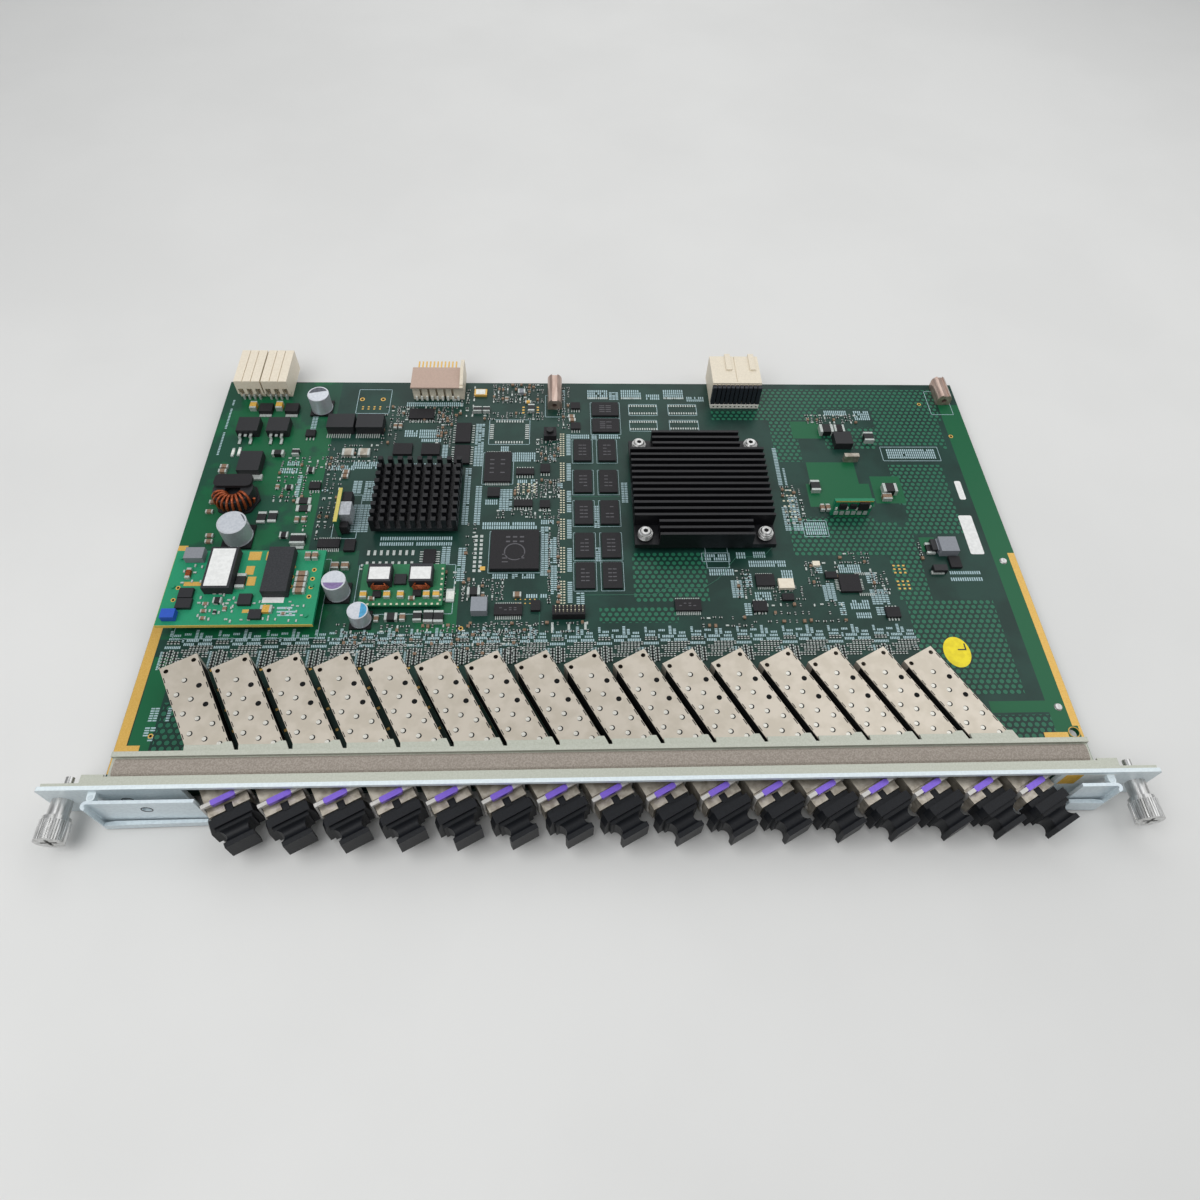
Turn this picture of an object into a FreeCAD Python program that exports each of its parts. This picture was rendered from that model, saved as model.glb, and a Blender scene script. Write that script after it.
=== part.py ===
import FreeCAD, Part
import Sketcher
import math
import os
from FreeCAD import Placement, Rotation, Vector

# Optical line card: a board with sixteen slanted optical ports behind a narrow face plate,
# two fold-out levers, two captive thumb screws, and its power and logic parts.
# X runs along the face plate, Y towards the rear, Z up from the lower edge of the plate.

SIZES = {
    # main board
    "board_side_gap": 14.35,
    "board_depth": 214.3,
    "board_thick": 2.0,
    "board_top": 5.4,
    "board_front": 3.5,
    "hole_inset": 3.35,
    "hole_y": 22.3,
    "hole_radius": 1.9,
    # face plate
    "row_end_left": 27.04,
    "row_end_right": 81.935,
    "plate_height": 20.0,
    "plate_thick": 1.5,
    "plate_corner": 0.8,
    "window_margin_left": 5.2,
    "window_margin_right": 2.5,
    "window_top": 18.4,
    "lamp_x": 170.5,
    "lamp_z": 10.2,
    "lamp_radius": 1.5,
    # front frame and gasket
    "rail_left_inset": 7.35,
    "rail_right_inset": 8.35,
    "rail_sheet": 1.0,
    "rail_lip_depth": 3.2,
    "trough_front": 4.7,
    "trough_rear": 12.3,
    "trough_floor": 17.6,
    "rail_back_lip": 19.2,
    "finger_reach": 4.6,
    "finger_shoulder": 3.4,
    "finger_gap": 0.695,
    "finger_tip": 2.2,
    "finger_back": 1.9,
    "finger_lead": 2.5,
    "flange_setback": 2.4,
    "flange_end_gap": 1.7,
    "lug_width": 17.0,
    "lug_bottom": 1.0,
    "gasket_side_gap": 0.5,
    "gasket_height": 1.5,
    "gasket_end_gap": 1.6,
    # ports: cages, modules, plugs and bails share one slanted frame
    "port_count": 16,
    "slant": 28.47,
    "port_pitch": 19.095,
    "port_y": 49.2,
    "cage_width": 14.1,
    "cage_length": 50.0,
    "cage_height": 9.8,
    "cage_wall": 0.25,
    "module_tail": 4.0,
    "module_side_gap": 0.1,
    "module_height": 8.6,
    "nose_gap": 1.0,
    "nose_length": 9.3,
    "nose_height": 9.4,
    "nose_lift": 0.2,
    "collar_length": 5.5,
    "collar_top": 8.8,
    "socket_width": 9.2,
    "socket_height": 6.9,
    "socket_depth": 12.0,
    "socket_lift": 1.0,
    "key_width": 2.7,
    "key_depth": 2.4,
    "pivot_setback": 3.6,
    "pivot_rise": 2.6,
    "pivot_radius": 0.9,
    "pivot_play": 0.05,
    "bail_side_gap": 0.3,
    "bail_sheet": 0.7,
    "bail_depth": 1.4,
    "bail_eye": 1.5,
    "bail_top": 11.7,
    "bail_bar": 1.1,
    "sleeve_width": 7.6,
    "sleeve_depth": 2.1,
    "sleeve_height": 1.7,
    "sleeve_shift": 0.65,
    "plug_play": 0.2,
    "plug_end_gap": 0.5,
    "plug_front_gap": 0.3,
    "plug_block_width": 13.0,
    "plug_block_bottom": 0.6,
    "plug_block_top": 8.4,
    "plug_block_length": 2.0,
    "plug_flange_length": 3.2,
    "plug_row_gap": 0.586,
    "plug_flange_bottom": -0.4,
    "plug_flange_top": 11.4,
    "plug_flange_corner": 2.0,
    "plug_waist_width": 10.2,
    "plug_waist_curve": 2.4,
    "plug_waist_bite": 1.4,
    "plug_ridge_length": 1.3,
    "plug_ridge_width": 12.4,
    "plug_ridge_drop": 1.2,
    "plug_waist_bottom": 1.4,
    "plug_waist_top": 9.8,
    "plug_waist_length": 6.0,
    "plug_tee_length": 1.6,
    "plug_tee_width": 10.2,
    "plug_tee_bottom": 0.9,
    "plug_tee_top": 9.8,
    # levers
    "lever_pivot_inset": 13.4,
    "lever_pivot_y": 1.9,
    "lever_pin_radius": 0.8,
    "lever_play": 0.05,
    "lever_face_gap": 3.6,
    "lever_sheet": 1.2,
    "lever_bottom": 0.7,
    "lever_top": 19.3,
    "lever_bail_gap": 1.81,
    "lever_plug_gap": 3.6,
    "lever_under_plug": 16.4,
    "lever_low_right": 4.2,
    "lever_lamp_inset": 17.9,
    "lever_lamp_z": 13.4,
    "lever_curl_radius": 1.7,
    "lever_hem_gap": 0.35,
    "lever_hem_left": 3.4,
    "lever_hem_right": 7.2,
    "lug_plate": 2.0,
    "lug_low": 2.2,
    "lug_high": 15.8,
    "lug_radius": 1.4,
    "knuckle_height": 3.0,
    "knuckle_low": 5.0,
    "knuckle_high": 12.0,
    # thumb screws
    "screw_inset": 5.1,
    "collar_radius": 3.5,
    "collar_reach": 5.8,
    "neck_radius": 3.0,
    "collar_bore": 1.8,
    "shank_radius": 1.5,
    "shank_end": 8.5,
    "head_radius": 5.0,
    "knurl_count": 36,
    "knurl_depth": 0.3,
    "knurl_width": 0.5,
    "head_length": 8.5,
    "shoulder_radius": 4.5,
    "shoulder_length": 1.5,
    "head_bore": 3.8,
    "head_bore_depth": 6.0,
    "head_rest_gap": 0.3,
    "recess_depth": 1.2,
    "recess_width": 1.2,
    "recess_span": 5.6,
    "clip_radius": 2.5,
    "clip_thick": 0.8,
    "clip_gap": 0.3,
    "groove_radius": 1.2,
    "groove_play": 0.05,
    # heat sinks
    "fin_sink_x": 13.2,
    "fin_sink_y": 110.4,
    "fin_sink_side": 62.0,
    "fin_count": 18,
    "fin_thick": 1.3,
    "fin_chip_side": 35.0,
    "fin_chip_height": 3.0,
    "fin_base": 2.5,
    "fin_sink_top": 12.5,
    "fin_corner": 10.5,
    "sink_screw_inset": 4.6,
    "sink_screw_radius": 1.2,
    "sink_screw_play": 0.3,
    "sink_screw_head": 2.8,
    "sink_screw_rise": 3.4,
    "pin_sink_x": -101.8,
    "pin_sink_y": 120.6,
    "pin_sink_side": 37.6,
    "pin_count": 9,
    "pin_side": 2.1,
    "pin_chip_side": 27.0,
    "pin_chip_height": 2.5,
    "pin_base": 2.0,
    "pin_sink_top": 10.0,
    # power module on its pins
    "brick_inset": 4.45,
    "brick_y": 69.5,
    "brick_width": 61.4,
    "brick_depth": 36.8,
    "brick_lift": 6.4,
    "brick_thick": 1.6,
    "brick_pin": 0.75,
    "core_height": 4.5,
    # converter module
    "converter_x": -102.4,
    "converter_y": 81.5,
    "converter_width": 34.4,
    "converter_depth": 21.0,
    "converter_lift": 1.8,
    "converter_thick": 1.2,
    "coil_height": 4.6,
    # rear connectors
    "power_conn_inset": 13.15,
    "power_conn_pitch": 12.9,
    "power_conn_width": 12.2,
    "power_conn_seat": 12.3,
    "power_conn_depth": 22.5,
    "power_conn_height": 11.5,
    "power_conn_step": 2.0,
    "data_conn_x": 55.9,
    "data_conn_width": 24.2,
    "data_conn_seat": 17.6,
    "data_conn_depth": 22.4,
    "data_conn_height": 14.0,
    "data_foot": 2.3,
    "wafer_depth": 2.9,
    "wafer_count": 11,
    "signal_conn_x": -91.6,
    "signal_conn_width": 24.9,
    "signal_conn_seat": 13.4,
    "signal_conn_depth": 14.6,
    "signal_conn_height": 9.0,
    "signal_ear": 1.6,
    "guide_left_x": -21.8,
    "guide_left_seat": 18.9,
    "guide_left_depth": 18.6,
    "guide_right_inset": 7.75,
    "guide_right_depth": 14.0,
    "guide_width": 7.1,
    "guide_height": 6.6,
    # push switch
    "switch_x": -24.0,
    "switch_y": 180.5,
    "switch_side": 6.0,
    "switch_height": 3.4,
    "button_radius": 1.6,
    "button_play": 0.05,
    "button_rise": 1.4,
    "button_travel": 0.25,
    "button_length": 3.0,
}


class Size:
    # a number that also knows its spreadsheet formula
    def __init__(self, value, text):
        self.value = value
        self.text = text

    def __add__(self, other):
        return Size(self.value + number(other), f"({self.text} + {formula(other)})")

    def __radd__(self, other):
        return Size(number(other) + self.value, f"({formula(other)} + {self.text})")

    def __sub__(self, other):
        return Size(self.value - number(other), f"({self.text} - {formula(other)})")

    def __rsub__(self, other):
        return Size(number(other) - self.value, f"({formula(other)} - {self.text})")

    def __mul__(self, other):
        return Size(self.value * number(other), f"({self.text} * {formula(other)})")

    def __rmul__(self, other):
        return Size(number(other) * self.value, f"({formula(other)} * {self.text})")

    def __truediv__(self, other):
        return Size(self.value / number(other), f"({self.text} / {formula(other)})")

    def __neg__(self):
        return Size(-self.value, f"(0 - {self.text})")


def number(size):
    return size.value if isinstance(size, Size) else float(size)


def formula(size):
    return size.text if isinstance(size, Size) else f"{size:g}" if size >= 0 else f"(0 - {-size:g})"


def sine(size):
    return Size(math.sin(math.radians(size.value)), f"sin({size.text})")


def cosine(size):
    return Size(math.cos(math.radians(size.value)), f"cos({size.text})")


doc = FreeCAD.newDocument("switch_line_card")
sheet = doc.addObject("Spreadsheet::Sheet", "sizes")
for row, (name, value) in enumerate(SIZES.items(), 1):
    sheet.set(f"A{row}", name)
    sheet.set(f"B{row}", str(value))
    sheet.setAlias(f"B{row}", name)
doc.recompute()


class Named:
    pass


S = Named()
for name, value in SIZES.items():
    setattr(S, name, Size(value, f"sizes.{name}"))


def drive(obj, prop, size):
    if isinstance(size, Size):
        obj.setExpression(prop, size.text)
    elif not prop.startswith("Placement"):
        setattr(obj, prop, size)


def place(obj, x=0, y=0, z=0, axis=(0, 0, 1), angle=0):
    turn = Rotation(Vector(*axis), number(angle))
    obj.Placement = Placement(Vector(number(x), number(y), number(z)), turn)
    drive(obj, "Placement.Base.x", x)
    drive(obj, "Placement.Base.y", y)
    drive(obj, "Placement.Base.z", z)
    if isinstance(angle, Size):
        obj.setExpression("Placement.Rotation.Angle", angle.text)
    return obj


def box(label, x, y, z, dx, dy, dz):
    solid = doc.addObject("Part::Box", label)
    drive(solid, "Length", dx)
    drive(solid, "Width", dy)
    drive(solid, "Height", dz)
    return place(solid, x, y, z)


TURNS = {"x": ((0, 1, 0), 90), "y": ((1, 0, 0), -90), "z": ((0, 0, 1), 0)}


def rod(label, x, y, z, radius, length, along="z"):
    solid = doc.addObject("Part::Cylinder", label)
    drive(solid, "Radius", radius)
    drive(solid, "Height", length)
    axis, angle = TURNS[along]
    return place(solid, x, y, z, axis, angle)


def fuse(label, solids):
    joined = doc.addObject("Part::MultiFuse", label)
    joined.Shapes = solids
    joined.Refine = True
    return joined


def cut(label, base, tools):
    removed = doc.addObject("Part::Cut", label)
    removed.Base = base
    removed.Tool = tools[0] if len(tools) == 1 else fuse(label + "_tools", tools)
    removed.Refine = True
    return removed


def group(label, solids):
    held = doc.addObject("Part::Compound", label)
    held.Links = solids
    return held


def outline(body, role, points, offset=0):
    plane = [f for f in body.Origin.OriginFeatures if f.Role == role][0]
    sketch = body.newObject("Sketcher::SketchObject", body.Name + "_outline")
    sketch.AttachmentSupport = [(plane, "")]
    sketch.MapMode = "FlatFace"
    sketch.AttachmentOffset = Placement(Vector(0, 0, number(offset)), Rotation())
    if isinstance(offset, Size):
        sketch.setExpression("AttachmentOffset.Base.z", offset.text)
    corners = [Vector(number(a), number(b), 0) for a, b in points]
    for start, end in zip(corners, corners[1:] + corners[:1]):
        sketch.addGeometry(Part.LineSegment(start, end), False)
    count = len(points)
    for i in range(count):
        sketch.addConstraint(Sketcher.Constraint("Coincident", i, 2, (i + 1) % count, 1))
    for i, point in enumerate(points):
        for kind, size in zip(("DistanceX", "DistanceY"), point):
            at = sketch.addConstraint(Sketcher.Constraint(kind, -1, 1, i, 1, number(size)))
            if isinstance(size, Size):
                sketch.setExpression(f"Constraints[{at}]", size.text)
    return sketch


def pad(label, role, points, offset, length):
    body = doc.addObject("PartDesign::Body", label)
    sketch = outline(body, role, points, offset)
    feature = body.newObject("PartDesign::Pad", label + "_pad")
    feature.Profile = sketch
    drive(feature, "Length", length)
    sketch.Visibility = False
    return body


# places that follow from the sizes
SLANT = S.slant
S.nose_start = S.cage_length + S.nose_gap
S.nose_end = S.nose_start + S.nose_length
S.collar_end = S.nose_end + S.collar_length
S.pivot_along = S.collar_end - S.pivot_setback
S.plug_flange_start = S.collar_end + S.plug_front_gap + S.plug_block_length
S.plug_flange_end = S.plug_flange_start + S.plug_flange_length
S.plug_tee_start = S.plug_flange_end + S.plug_waist_length
S.plug_tee_end = S.plug_tee_start + S.plug_tee_length
# the row of ports sets the width of the plate, and the plate that of the board
LAST_PORT = S.port_pitch * (S.port_count - 1)
S.plate_width = S.row_end_left + LAST_PORT + S.row_end_right
S.plug_flange_width = S.port_pitch * cosine(SLANT) - S.plug_row_gap
S.finger_root = S.port_pitch - S.finger_gap
S.port_x = S.plate_width / 2 - S.row_end_left
S.board_width = S.plate_width - 2 * S.board_side_gap
S.board_back = S.board_front + S.board_depth
LEFT = -S.board_width / 2
RIGHT = S.board_width / 2
BACK = S.board_back
S.screw_x = S.plate_width / 2 - S.screw_inset
S.screw_z = S.plate_height / 2
S.lever_pivot_x = S.screw_x - S.lever_pivot_inset
S.lever_curl_x = S.lever_pivot_x
S.arm_reach = S.bail_side_gap + S.bail_sheet
S.lever_inner_left = (S.port_x - S.pivot_along * sine(SLANT) + S.arm_reach * cosine(SLANT)
                      + S.lever_bail_gap)
LAST_PLUG_EDGE = (LAST_PORT - S.port_x + S.plug_flange_end * sine(SLANT)
                  + (S.cage_width + S.plug_flange_width) / 2 * cosine(SLANT))
S.lever_full_from = LAST_PLUG_EDGE + S.lever_plug_gap
S.lever_inner_right = LAST_PLUG_EDGE - S.lever_under_plug
S.rail_left = S.board_width / 2 - S.rail_left_inset
S.rail_right = S.board_width / 2 - S.rail_right_inset
# where the row of ports crosses the plate
FACE_ALONG = S.port_y / cosine(SLANT)
S.window_left = S.port_x - FACE_ALONG * sine(SLANT) + S.window_margin_left
S.window_right = (LAST_PORT - S.port_x + FACE_ALONG * sine(SLANT) + S.cage_width / cosine(SLANT)
                  + S.window_margin_right)
S.flange_outer = S.plate_width / 2 - S.flange_end_gap
S.guide_right_x = RIGHT - S.guide_right_inset
S.guide_right_y = BACK - S.guide_right_depth - 0.6
S.guide_left_y = BACK - S.guide_left_seat
S.power_conn_x = LEFT + S.power_conn_inset
S.power_conn_y = BACK - S.power_conn_seat
S.data_conn_y = BACK - S.data_conn_seat
S.signal_conn_y = BACK - S.signal_conn_seat
S.brick_x = LEFT + S.brick_inset
TEE_LEFT = S.cage_width / 2 - S.plug_tee_width / 2
FRONT_END = S.port_y - S.plug_tee_end * cosine(SLANT) + TEE_LEFT * sine(SLANT)
REAR_END = S.power_conn_y + S.power_conn_depth
MID_Y = (FRONT_END + REAR_END) / 2
TOP = S.board_top
nodes = []


def node(label, solids, x=0, y=0, angle=0):
    held = group(label, solids)
    place(held, x, y - MID_Y, 0, (0, 0, 1), angle)
    nodes.append(held)
    return held


def port_seat(label, solid, index):
    seat = group(label, [solid])
    return place(seat, index * S.port_pitch - S.port_x, S.port_y, 0, (0, 0, 1), SLANT)


# in the slanted port frame x runs across the port and y runs back, with 0 at the cage's rear


# main board, with the plated hole at its right front corner
board = box("board_blank", LEFT, S.board_front, TOP - S.board_thick,
            S.board_width, S.board_depth, S.board_thick)
board_holes = [rod(f"board_hole_{i}", x, y, 0, radius, TOP + 1)
               for i, (x, y, radius) in enumerate([(RIGHT - S.hole_inset, S.hole_y, S.hole_radius)])]
node("main_board", [cut("board_cut", board, board_holes)])

# face plate: a strip with the port window cut from its lower edge
half = S.plate_width / 2
corner = S.plate_corner
plate = pad("plate_sheet", "XZ_Plane", [
    (corner - half, 0),
    (-S.window_left, 0),
    (-S.window_left, S.window_top),
    (S.window_right, S.window_top),
    (S.window_right, 0),
    (half - corner, 0),
    (half, corner),
    (half, S.plate_height - corner),
    (half - corner, S.plate_height),
    (corner - half, S.plate_height),
    (-half, S.plate_height - corner),
    (-half, corner),
], -S.plate_thick, S.plate_thick)
plate_lugs = []
plate_holes = [rod("lamp_hole", -S.lamp_x, -1, S.lamp_z, S.lamp_radius, 4, "y")]
for side in (-1, 1):
    plate_holes.append(rod("neck_hole", side * S.screw_x, -1, S.screw_z, S.neck_radius, 4, "y"))
    for level in (S.lug_low, S.lug_high):
        stalk = box("lug_stalk", side * S.lever_pivot_x - S.lug_radius, -S.lever_pivot_y, level,
                    S.lug_radius * 2, S.lever_pivot_y + S.plate_thick, S.lug_plate)
        round_end = rod("lug_round", side * S.lever_pivot_x, -S.lever_pivot_y, level,
                        S.lug_radius, S.lug_plate)
        lug = fuse("lever_lug", [stalk, round_end])
        hole = rod("lug_hole", side * S.lever_pivot_x, -S.lever_pivot_y, level - 1,
                   S.lever_pin_radius + S.lever_play, S.lug_plate + 2)
        plate_lugs.append(cut("lug_eye", lug, [hole]))
plate_cut = cut("plate_cut", plate, plate_holes)
node("face_plate", [fuse("plate_with_lugs", [plate_cut] + plate_lugs)])

# front frame: a troughed rail over the cages, spring fingers, end flanges and board lugs
sheet_t = S.rail_sheet
rail_under = S.trough_floor - sheet_t
finger_z = TOP + S.cage_height
back_lip = S.trough_rear + 1.9
rail = pad("rail_strip", "YZ_Plane", [
    (S.plate_thick, S.plate_height),
    (S.trough_front, S.plate_height),
    (S.trough_front, S.trough_floor),
    (S.trough_rear, S.trough_floor),
    (S.trough_rear, S.rail_back_lip),
    (back_lip, S.rail_back_lip),
    (back_lip, finger_z),
    (back_lip - sheet_t * 1.3, finger_z),
    (back_lip - sheet_t * 1.3, rail_under),
    (S.trough_front - sheet_t, rail_under),
    (S.trough_front - sheet_t, S.plate_height - sheet_t),
    (S.plate_thick, S.plate_height - sheet_t),
], -S.rail_left, S.rail_left + S.rail_right)
tangent = sine(SLANT) / cosine(SLANT)
finger_x = ((S.port_y - back_lip) * tangent + S.cage_width / 2 / cosine(SLANT)) - S.port_x
finger_edge = finger_x + S.finger_root / 2
finger = pad("finger", "XY_Plane", [
    (finger_x - S.finger_root / 2, back_lip - 0.5),
    (finger_edge, back_lip - 0.5),
    (finger_edge - S.finger_lead, back_lip + S.finger_reach),
    (finger_edge - S.finger_lead - S.finger_tip, back_lip + S.finger_reach),
    (finger_edge - S.finger_lead - S.finger_tip - S.finger_back, back_lip + S.finger_shoulder),
    (finger_x - S.finger_root / 2 - 0.5, back_lip + S.finger_shoulder),
], finger_z, sheet_t)
fingers = finger.newObject("PartDesign::LinearPattern", "finger_row")
fingers.Originals = [finger.Tip]
fingers.Direction = ([f for f in finger.Origin.OriginFeatures if f.Role == "X_Axis"][0], [""])
fingers.Length = number(LAST_PORT)
fingers.setExpression("Length", LAST_PORT.text)
fingers.Occurrences = 16
fingers.setExpression("Occurrences", "sizes.port_count")
finger.Tip = fingers
frame_parts = [rail, finger]
for side, inner, rail_end in ((-1, S.window_left + S.flange_setback, S.rail_left),
                              (1, S.window_right + S.flange_setback, S.rail_right)):
    width = S.flange_outer - inner
    left = inner if side > 0 else -S.flange_outer
    flange = box("end_flange", left, S.plate_thick, 0.6, width, sheet_t, S.plate_height - 0.6)
    hole = rod("flange_hole", side * S.screw_x, 0, S.screw_z, S.neck_radius, 4, "y")
    frame_parts.append(cut("flange_cut", flange, [hole]))
    wall = rail_end if side > 0 else -rail_end
    wall_left = wall - sheet_t if side > 0 else wall
    frame_parts.append(box("end_wall", wall_left, S.plate_thick, TOP,
                           sheet_t, back_lip - S.plate_thick, rail_under + 0.5 - TOP))
    step_left = wall if side > 0 else wall - 7.5
    frame_parts.append(box("top_step", step_left, S.plate_thick, S.plate_height - sheet_t,
                           7.5, 4.0, sheet_t))
    lug_left = S.board_width / 2 - S.lug_width if side > 0 else -S.board_width / 2
    frame_parts.append(box("board_lug", lug_left, S.plate_thick, S.lug_bottom,
                           S.lug_width, 10.0, TOP - S.board_thick - S.lug_bottom))
node("front_frame", [fuse("frame_joined", frame_parts)])

# conductive gasket lying in the trough
gap = S.gasket_side_gap
gasket_top = S.trough_floor + S.gasket_height
node("shield_gasket", [pad("gasket_strip", "YZ_Plane", [
    (S.trough_front + gap, S.trough_floor),
    (S.trough_rear - gap, S.trough_floor),
    (S.trough_rear - gap, gasket_top - 0.9),
    (S.trough_rear - gap - 0.9, gasket_top - 0.2),
    (S.trough_rear - gap - 2.2, gasket_top),
    (S.trough_front + gap + 2.2, gasket_top),
    (S.trough_front + gap + 0.9, gasket_top - 0.2),
    (S.trough_front + gap, gasket_top - 0.9),
], S.gasket_end_gap - S.rail_left, S.rail_left + S.rail_right - 2 * S.gasket_end_gap)])

# one cage: a folded sheet tube, closed at the rear, standing on the board
w = S.cage_width
wall = S.cage_wall
cage_outer = box("cage_outer", 0, -S.cage_length, TOP, w, S.cage_length, S.cage_height)
cage_inner = box("cage_inner", wall, -S.cage_length - 1, TOP + wall,
                 w - 2 * wall, S.cage_length + 1 - wall, S.cage_height - 2 * wall)
cage_ports = [cage_inner]
for across in (1.9, 12.2):
    cage_ports.append(rod("cage_hole", across, -2.3, TOP + S.cage_height - 1, 0.9, 2))
cage = cut("cage", cage_outer, cage_ports)
node("port_cages", [port_seat(f"cage_{i + 1}", cage, i) for i in range(SIZES["port_count"])])

# one optical module: body in the cage, nose, collar with the fibre socket, bail pivots
inside = S.cage_wall + S.module_side_gap
module_body = box("module_body", inside, -S.nose_start - 1, TOP + wall,
                  w - 2 * inside, S.nose_start + 1 - S.module_tail, S.module_height)
module_nose = box("module_nose", 0, -S.nose_end, TOP + S.nose_lift,
                  w, S.nose_end - S.nose_start, S.nose_height)
module_collar = box("module_collar", 0, -S.collar_end, TOP + S.nose_lift,
                    w, S.collar_end - S.nose_start, S.collar_top - S.nose_lift)
arm_reach = S.arm_reach
pivot_z = TOP + S.pivot_rise
pivots = rod("module_pivots", -arm_reach, -S.pivot_along, pivot_z,
             S.pivot_radius, w + 2 * arm_reach, "x")
socket = box("module_socket", w / 2 - S.socket_width / 2, -S.collar_end - 1,
             TOP + S.socket_lift, S.socket_width, S.socket_depth + 1, S.socket_height)
key_slot = box("module_key_slot", w / 2 - S.key_width / 2, -S.collar_end - 1,
               TOP + S.socket_lift, S.key_width, S.key_depth + 1, S.collar_top)
module_solid = fuse("module_solid", [module_body, module_nose, module_collar, pivots])
module = cut("module", module_solid, [socket, key_slot])
node("optical_modules",
     [port_seat(f"module_{i + 1}", module, i) for i in range(SIZES["port_count"])])

# one bail: two arms on the module's pivots and the coloured bar across them
bar_z = TOP + S.bail_top - S.bail_bar
sleeve_z = TOP + S.bail_top - S.sleeve_height
bail_parts = [
    box("bail_bar", -arm_reach, -S.pivot_along - S.bail_depth / 2, bar_z,
        w + 2 * arm_reach, S.bail_depth, S.bail_bar),
    box("bail_sleeve", w / 2 - S.sleeve_width / 2 - S.sleeve_shift,
        -S.pivot_along - S.sleeve_depth / 2, sleeve_z,
        S.sleeve_width, S.sleeve_depth, S.sleeve_height)]
for across in (-arm_reach, w + S.bail_side_gap):
    arm = box("bail_arm", across, -S.pivot_along - S.bail_depth / 2, pivot_z,
              S.bail_sheet, S.bail_depth, bar_z - pivot_z + 0.5)
    eye = rod("bail_eye", across, -S.pivot_along, pivot_z, S.bail_eye, S.bail_sheet, "x")
    bail_parts += [arm, eye]
bail_bore = rod("bail_bore", -2 * arm_reach, -S.pivot_along, pivot_z,
                S.pivot_radius + S.pivot_play, w + 4 * arm_reach, "x")
bail = cut("bail", fuse("bail_solid", bail_parts), [bail_bore])


# one dust plug: stem in the socket, key rib, block, flange, waist and grip
def plug_slab(label, width, start, end, bottom, top):
    return box(label, w / 2 - width / 2, -end, TOP + bottom, width, end - start, top - bottom)


play = S.plug_play
stem_start = S.collar_end - S.socket_depth + S.plug_end_gap
block_start = S.collar_end + S.plug_front_gap
stem_top = S.socket_lift + S.socket_height - play
flange_half = S.plug_flange_width / 2
flange_corner = S.plug_flange_corner
flange_low = TOP + S.plug_flange_bottom
flange_high = TOP + S.plug_flange_top
flange = pad("plug_flange", "XZ_Plane", [
    (w / 2 - flange_half, flange_low),
    (w / 2 + flange_half, flange_low),
    (w / 2 + flange_half, flange_high - flange_corner * 2),
    (w / 2 + flange_half - flange_corner / 2, flange_high),
    (w / 2 - flange_half + flange_corner / 2, flange_high),
    (w / 2 - flange_half, flange_high - flange_corner * 2),
], S.plug_flange_start, S.plug_flange_length)
ridge_end = S.plug_flange_end + S.plug_ridge_length
waist_mid = (ridge_end + S.plug_tee_start) / 2
bite_x = S.plug_waist_width / 2 + S.plug_waist_curve - S.plug_waist_bite
bites = [rod("waist_bite", w / 2 + sign * bite_x, -waist_mid, TOP, S.plug_waist_curve,
             S.plug_waist_top + 1) for sign in (-1, 1)]
bites.append(rod("waist_top_bite", -2, -waist_mid,
                 TOP + S.plug_waist_top + S.plug_waist_curve - S.plug_waist_bite,
                 S.plug_waist_curve, w + 4, "x"))
waist = cut("plug_waist", plug_slab("waist_block", S.plug_waist_width, ridge_end - 0.5,
                                    S.plug_tee_start + 0.5, S.plug_waist_bottom,
                                    S.plug_waist_top), bites)
plug = fuse("plug", [
    plug_slab("plug_stem", S.socket_width - 2 * play, stem_start, block_start + 0.5,
              S.socket_lift + play, stem_top),
    plug_slab("plug_key", S.key_width - 2 * play, S.collar_end - S.key_depth + play,
              block_start + 0.5, stem_top - 1, S.collar_top - play),
    plug_slab("plug_block", S.plug_block_width, block_start, S.plug_flange_start + 0.5,
              S.plug_block_bottom, S.plug_block_top),
    flange,
    plug_slab("plug_ridge", S.plug_ridge_width, S.plug_flange_end - 0.5, ridge_end,
              S.plug_waist_bottom - 0.6, S.plug_flange_top - S.plug_ridge_drop),
    waist,
    plug_slab("plug_tee", S.plug_tee_width, S.plug_tee_start, S.plug_tee_end,
              S.plug_tee_bottom, S.plug_tee_top),
])
for i in range(SIZES["port_count"]):
    x = i * S.port_pitch - S.port_x
    node(f"bail_{i + 1:02d}", [bail], x, S.port_y, SLANT)
    node(f"dust_plug_{i + 1:02d}", [plug], x, S.port_y, SLANT)

# ejector levers: a plate folded back on itself at the outer end, hung on a pin between lugs
back_y = -S.lever_face_gap - S.lever_sheet
curl_r = S.lever_curl_radius
lever_h = S.lever_top - S.lever_bottom
hem_y = -S.lever_face_gap - 2 * curl_r
curl_y = -S.lever_face_gap - curl_r


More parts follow.
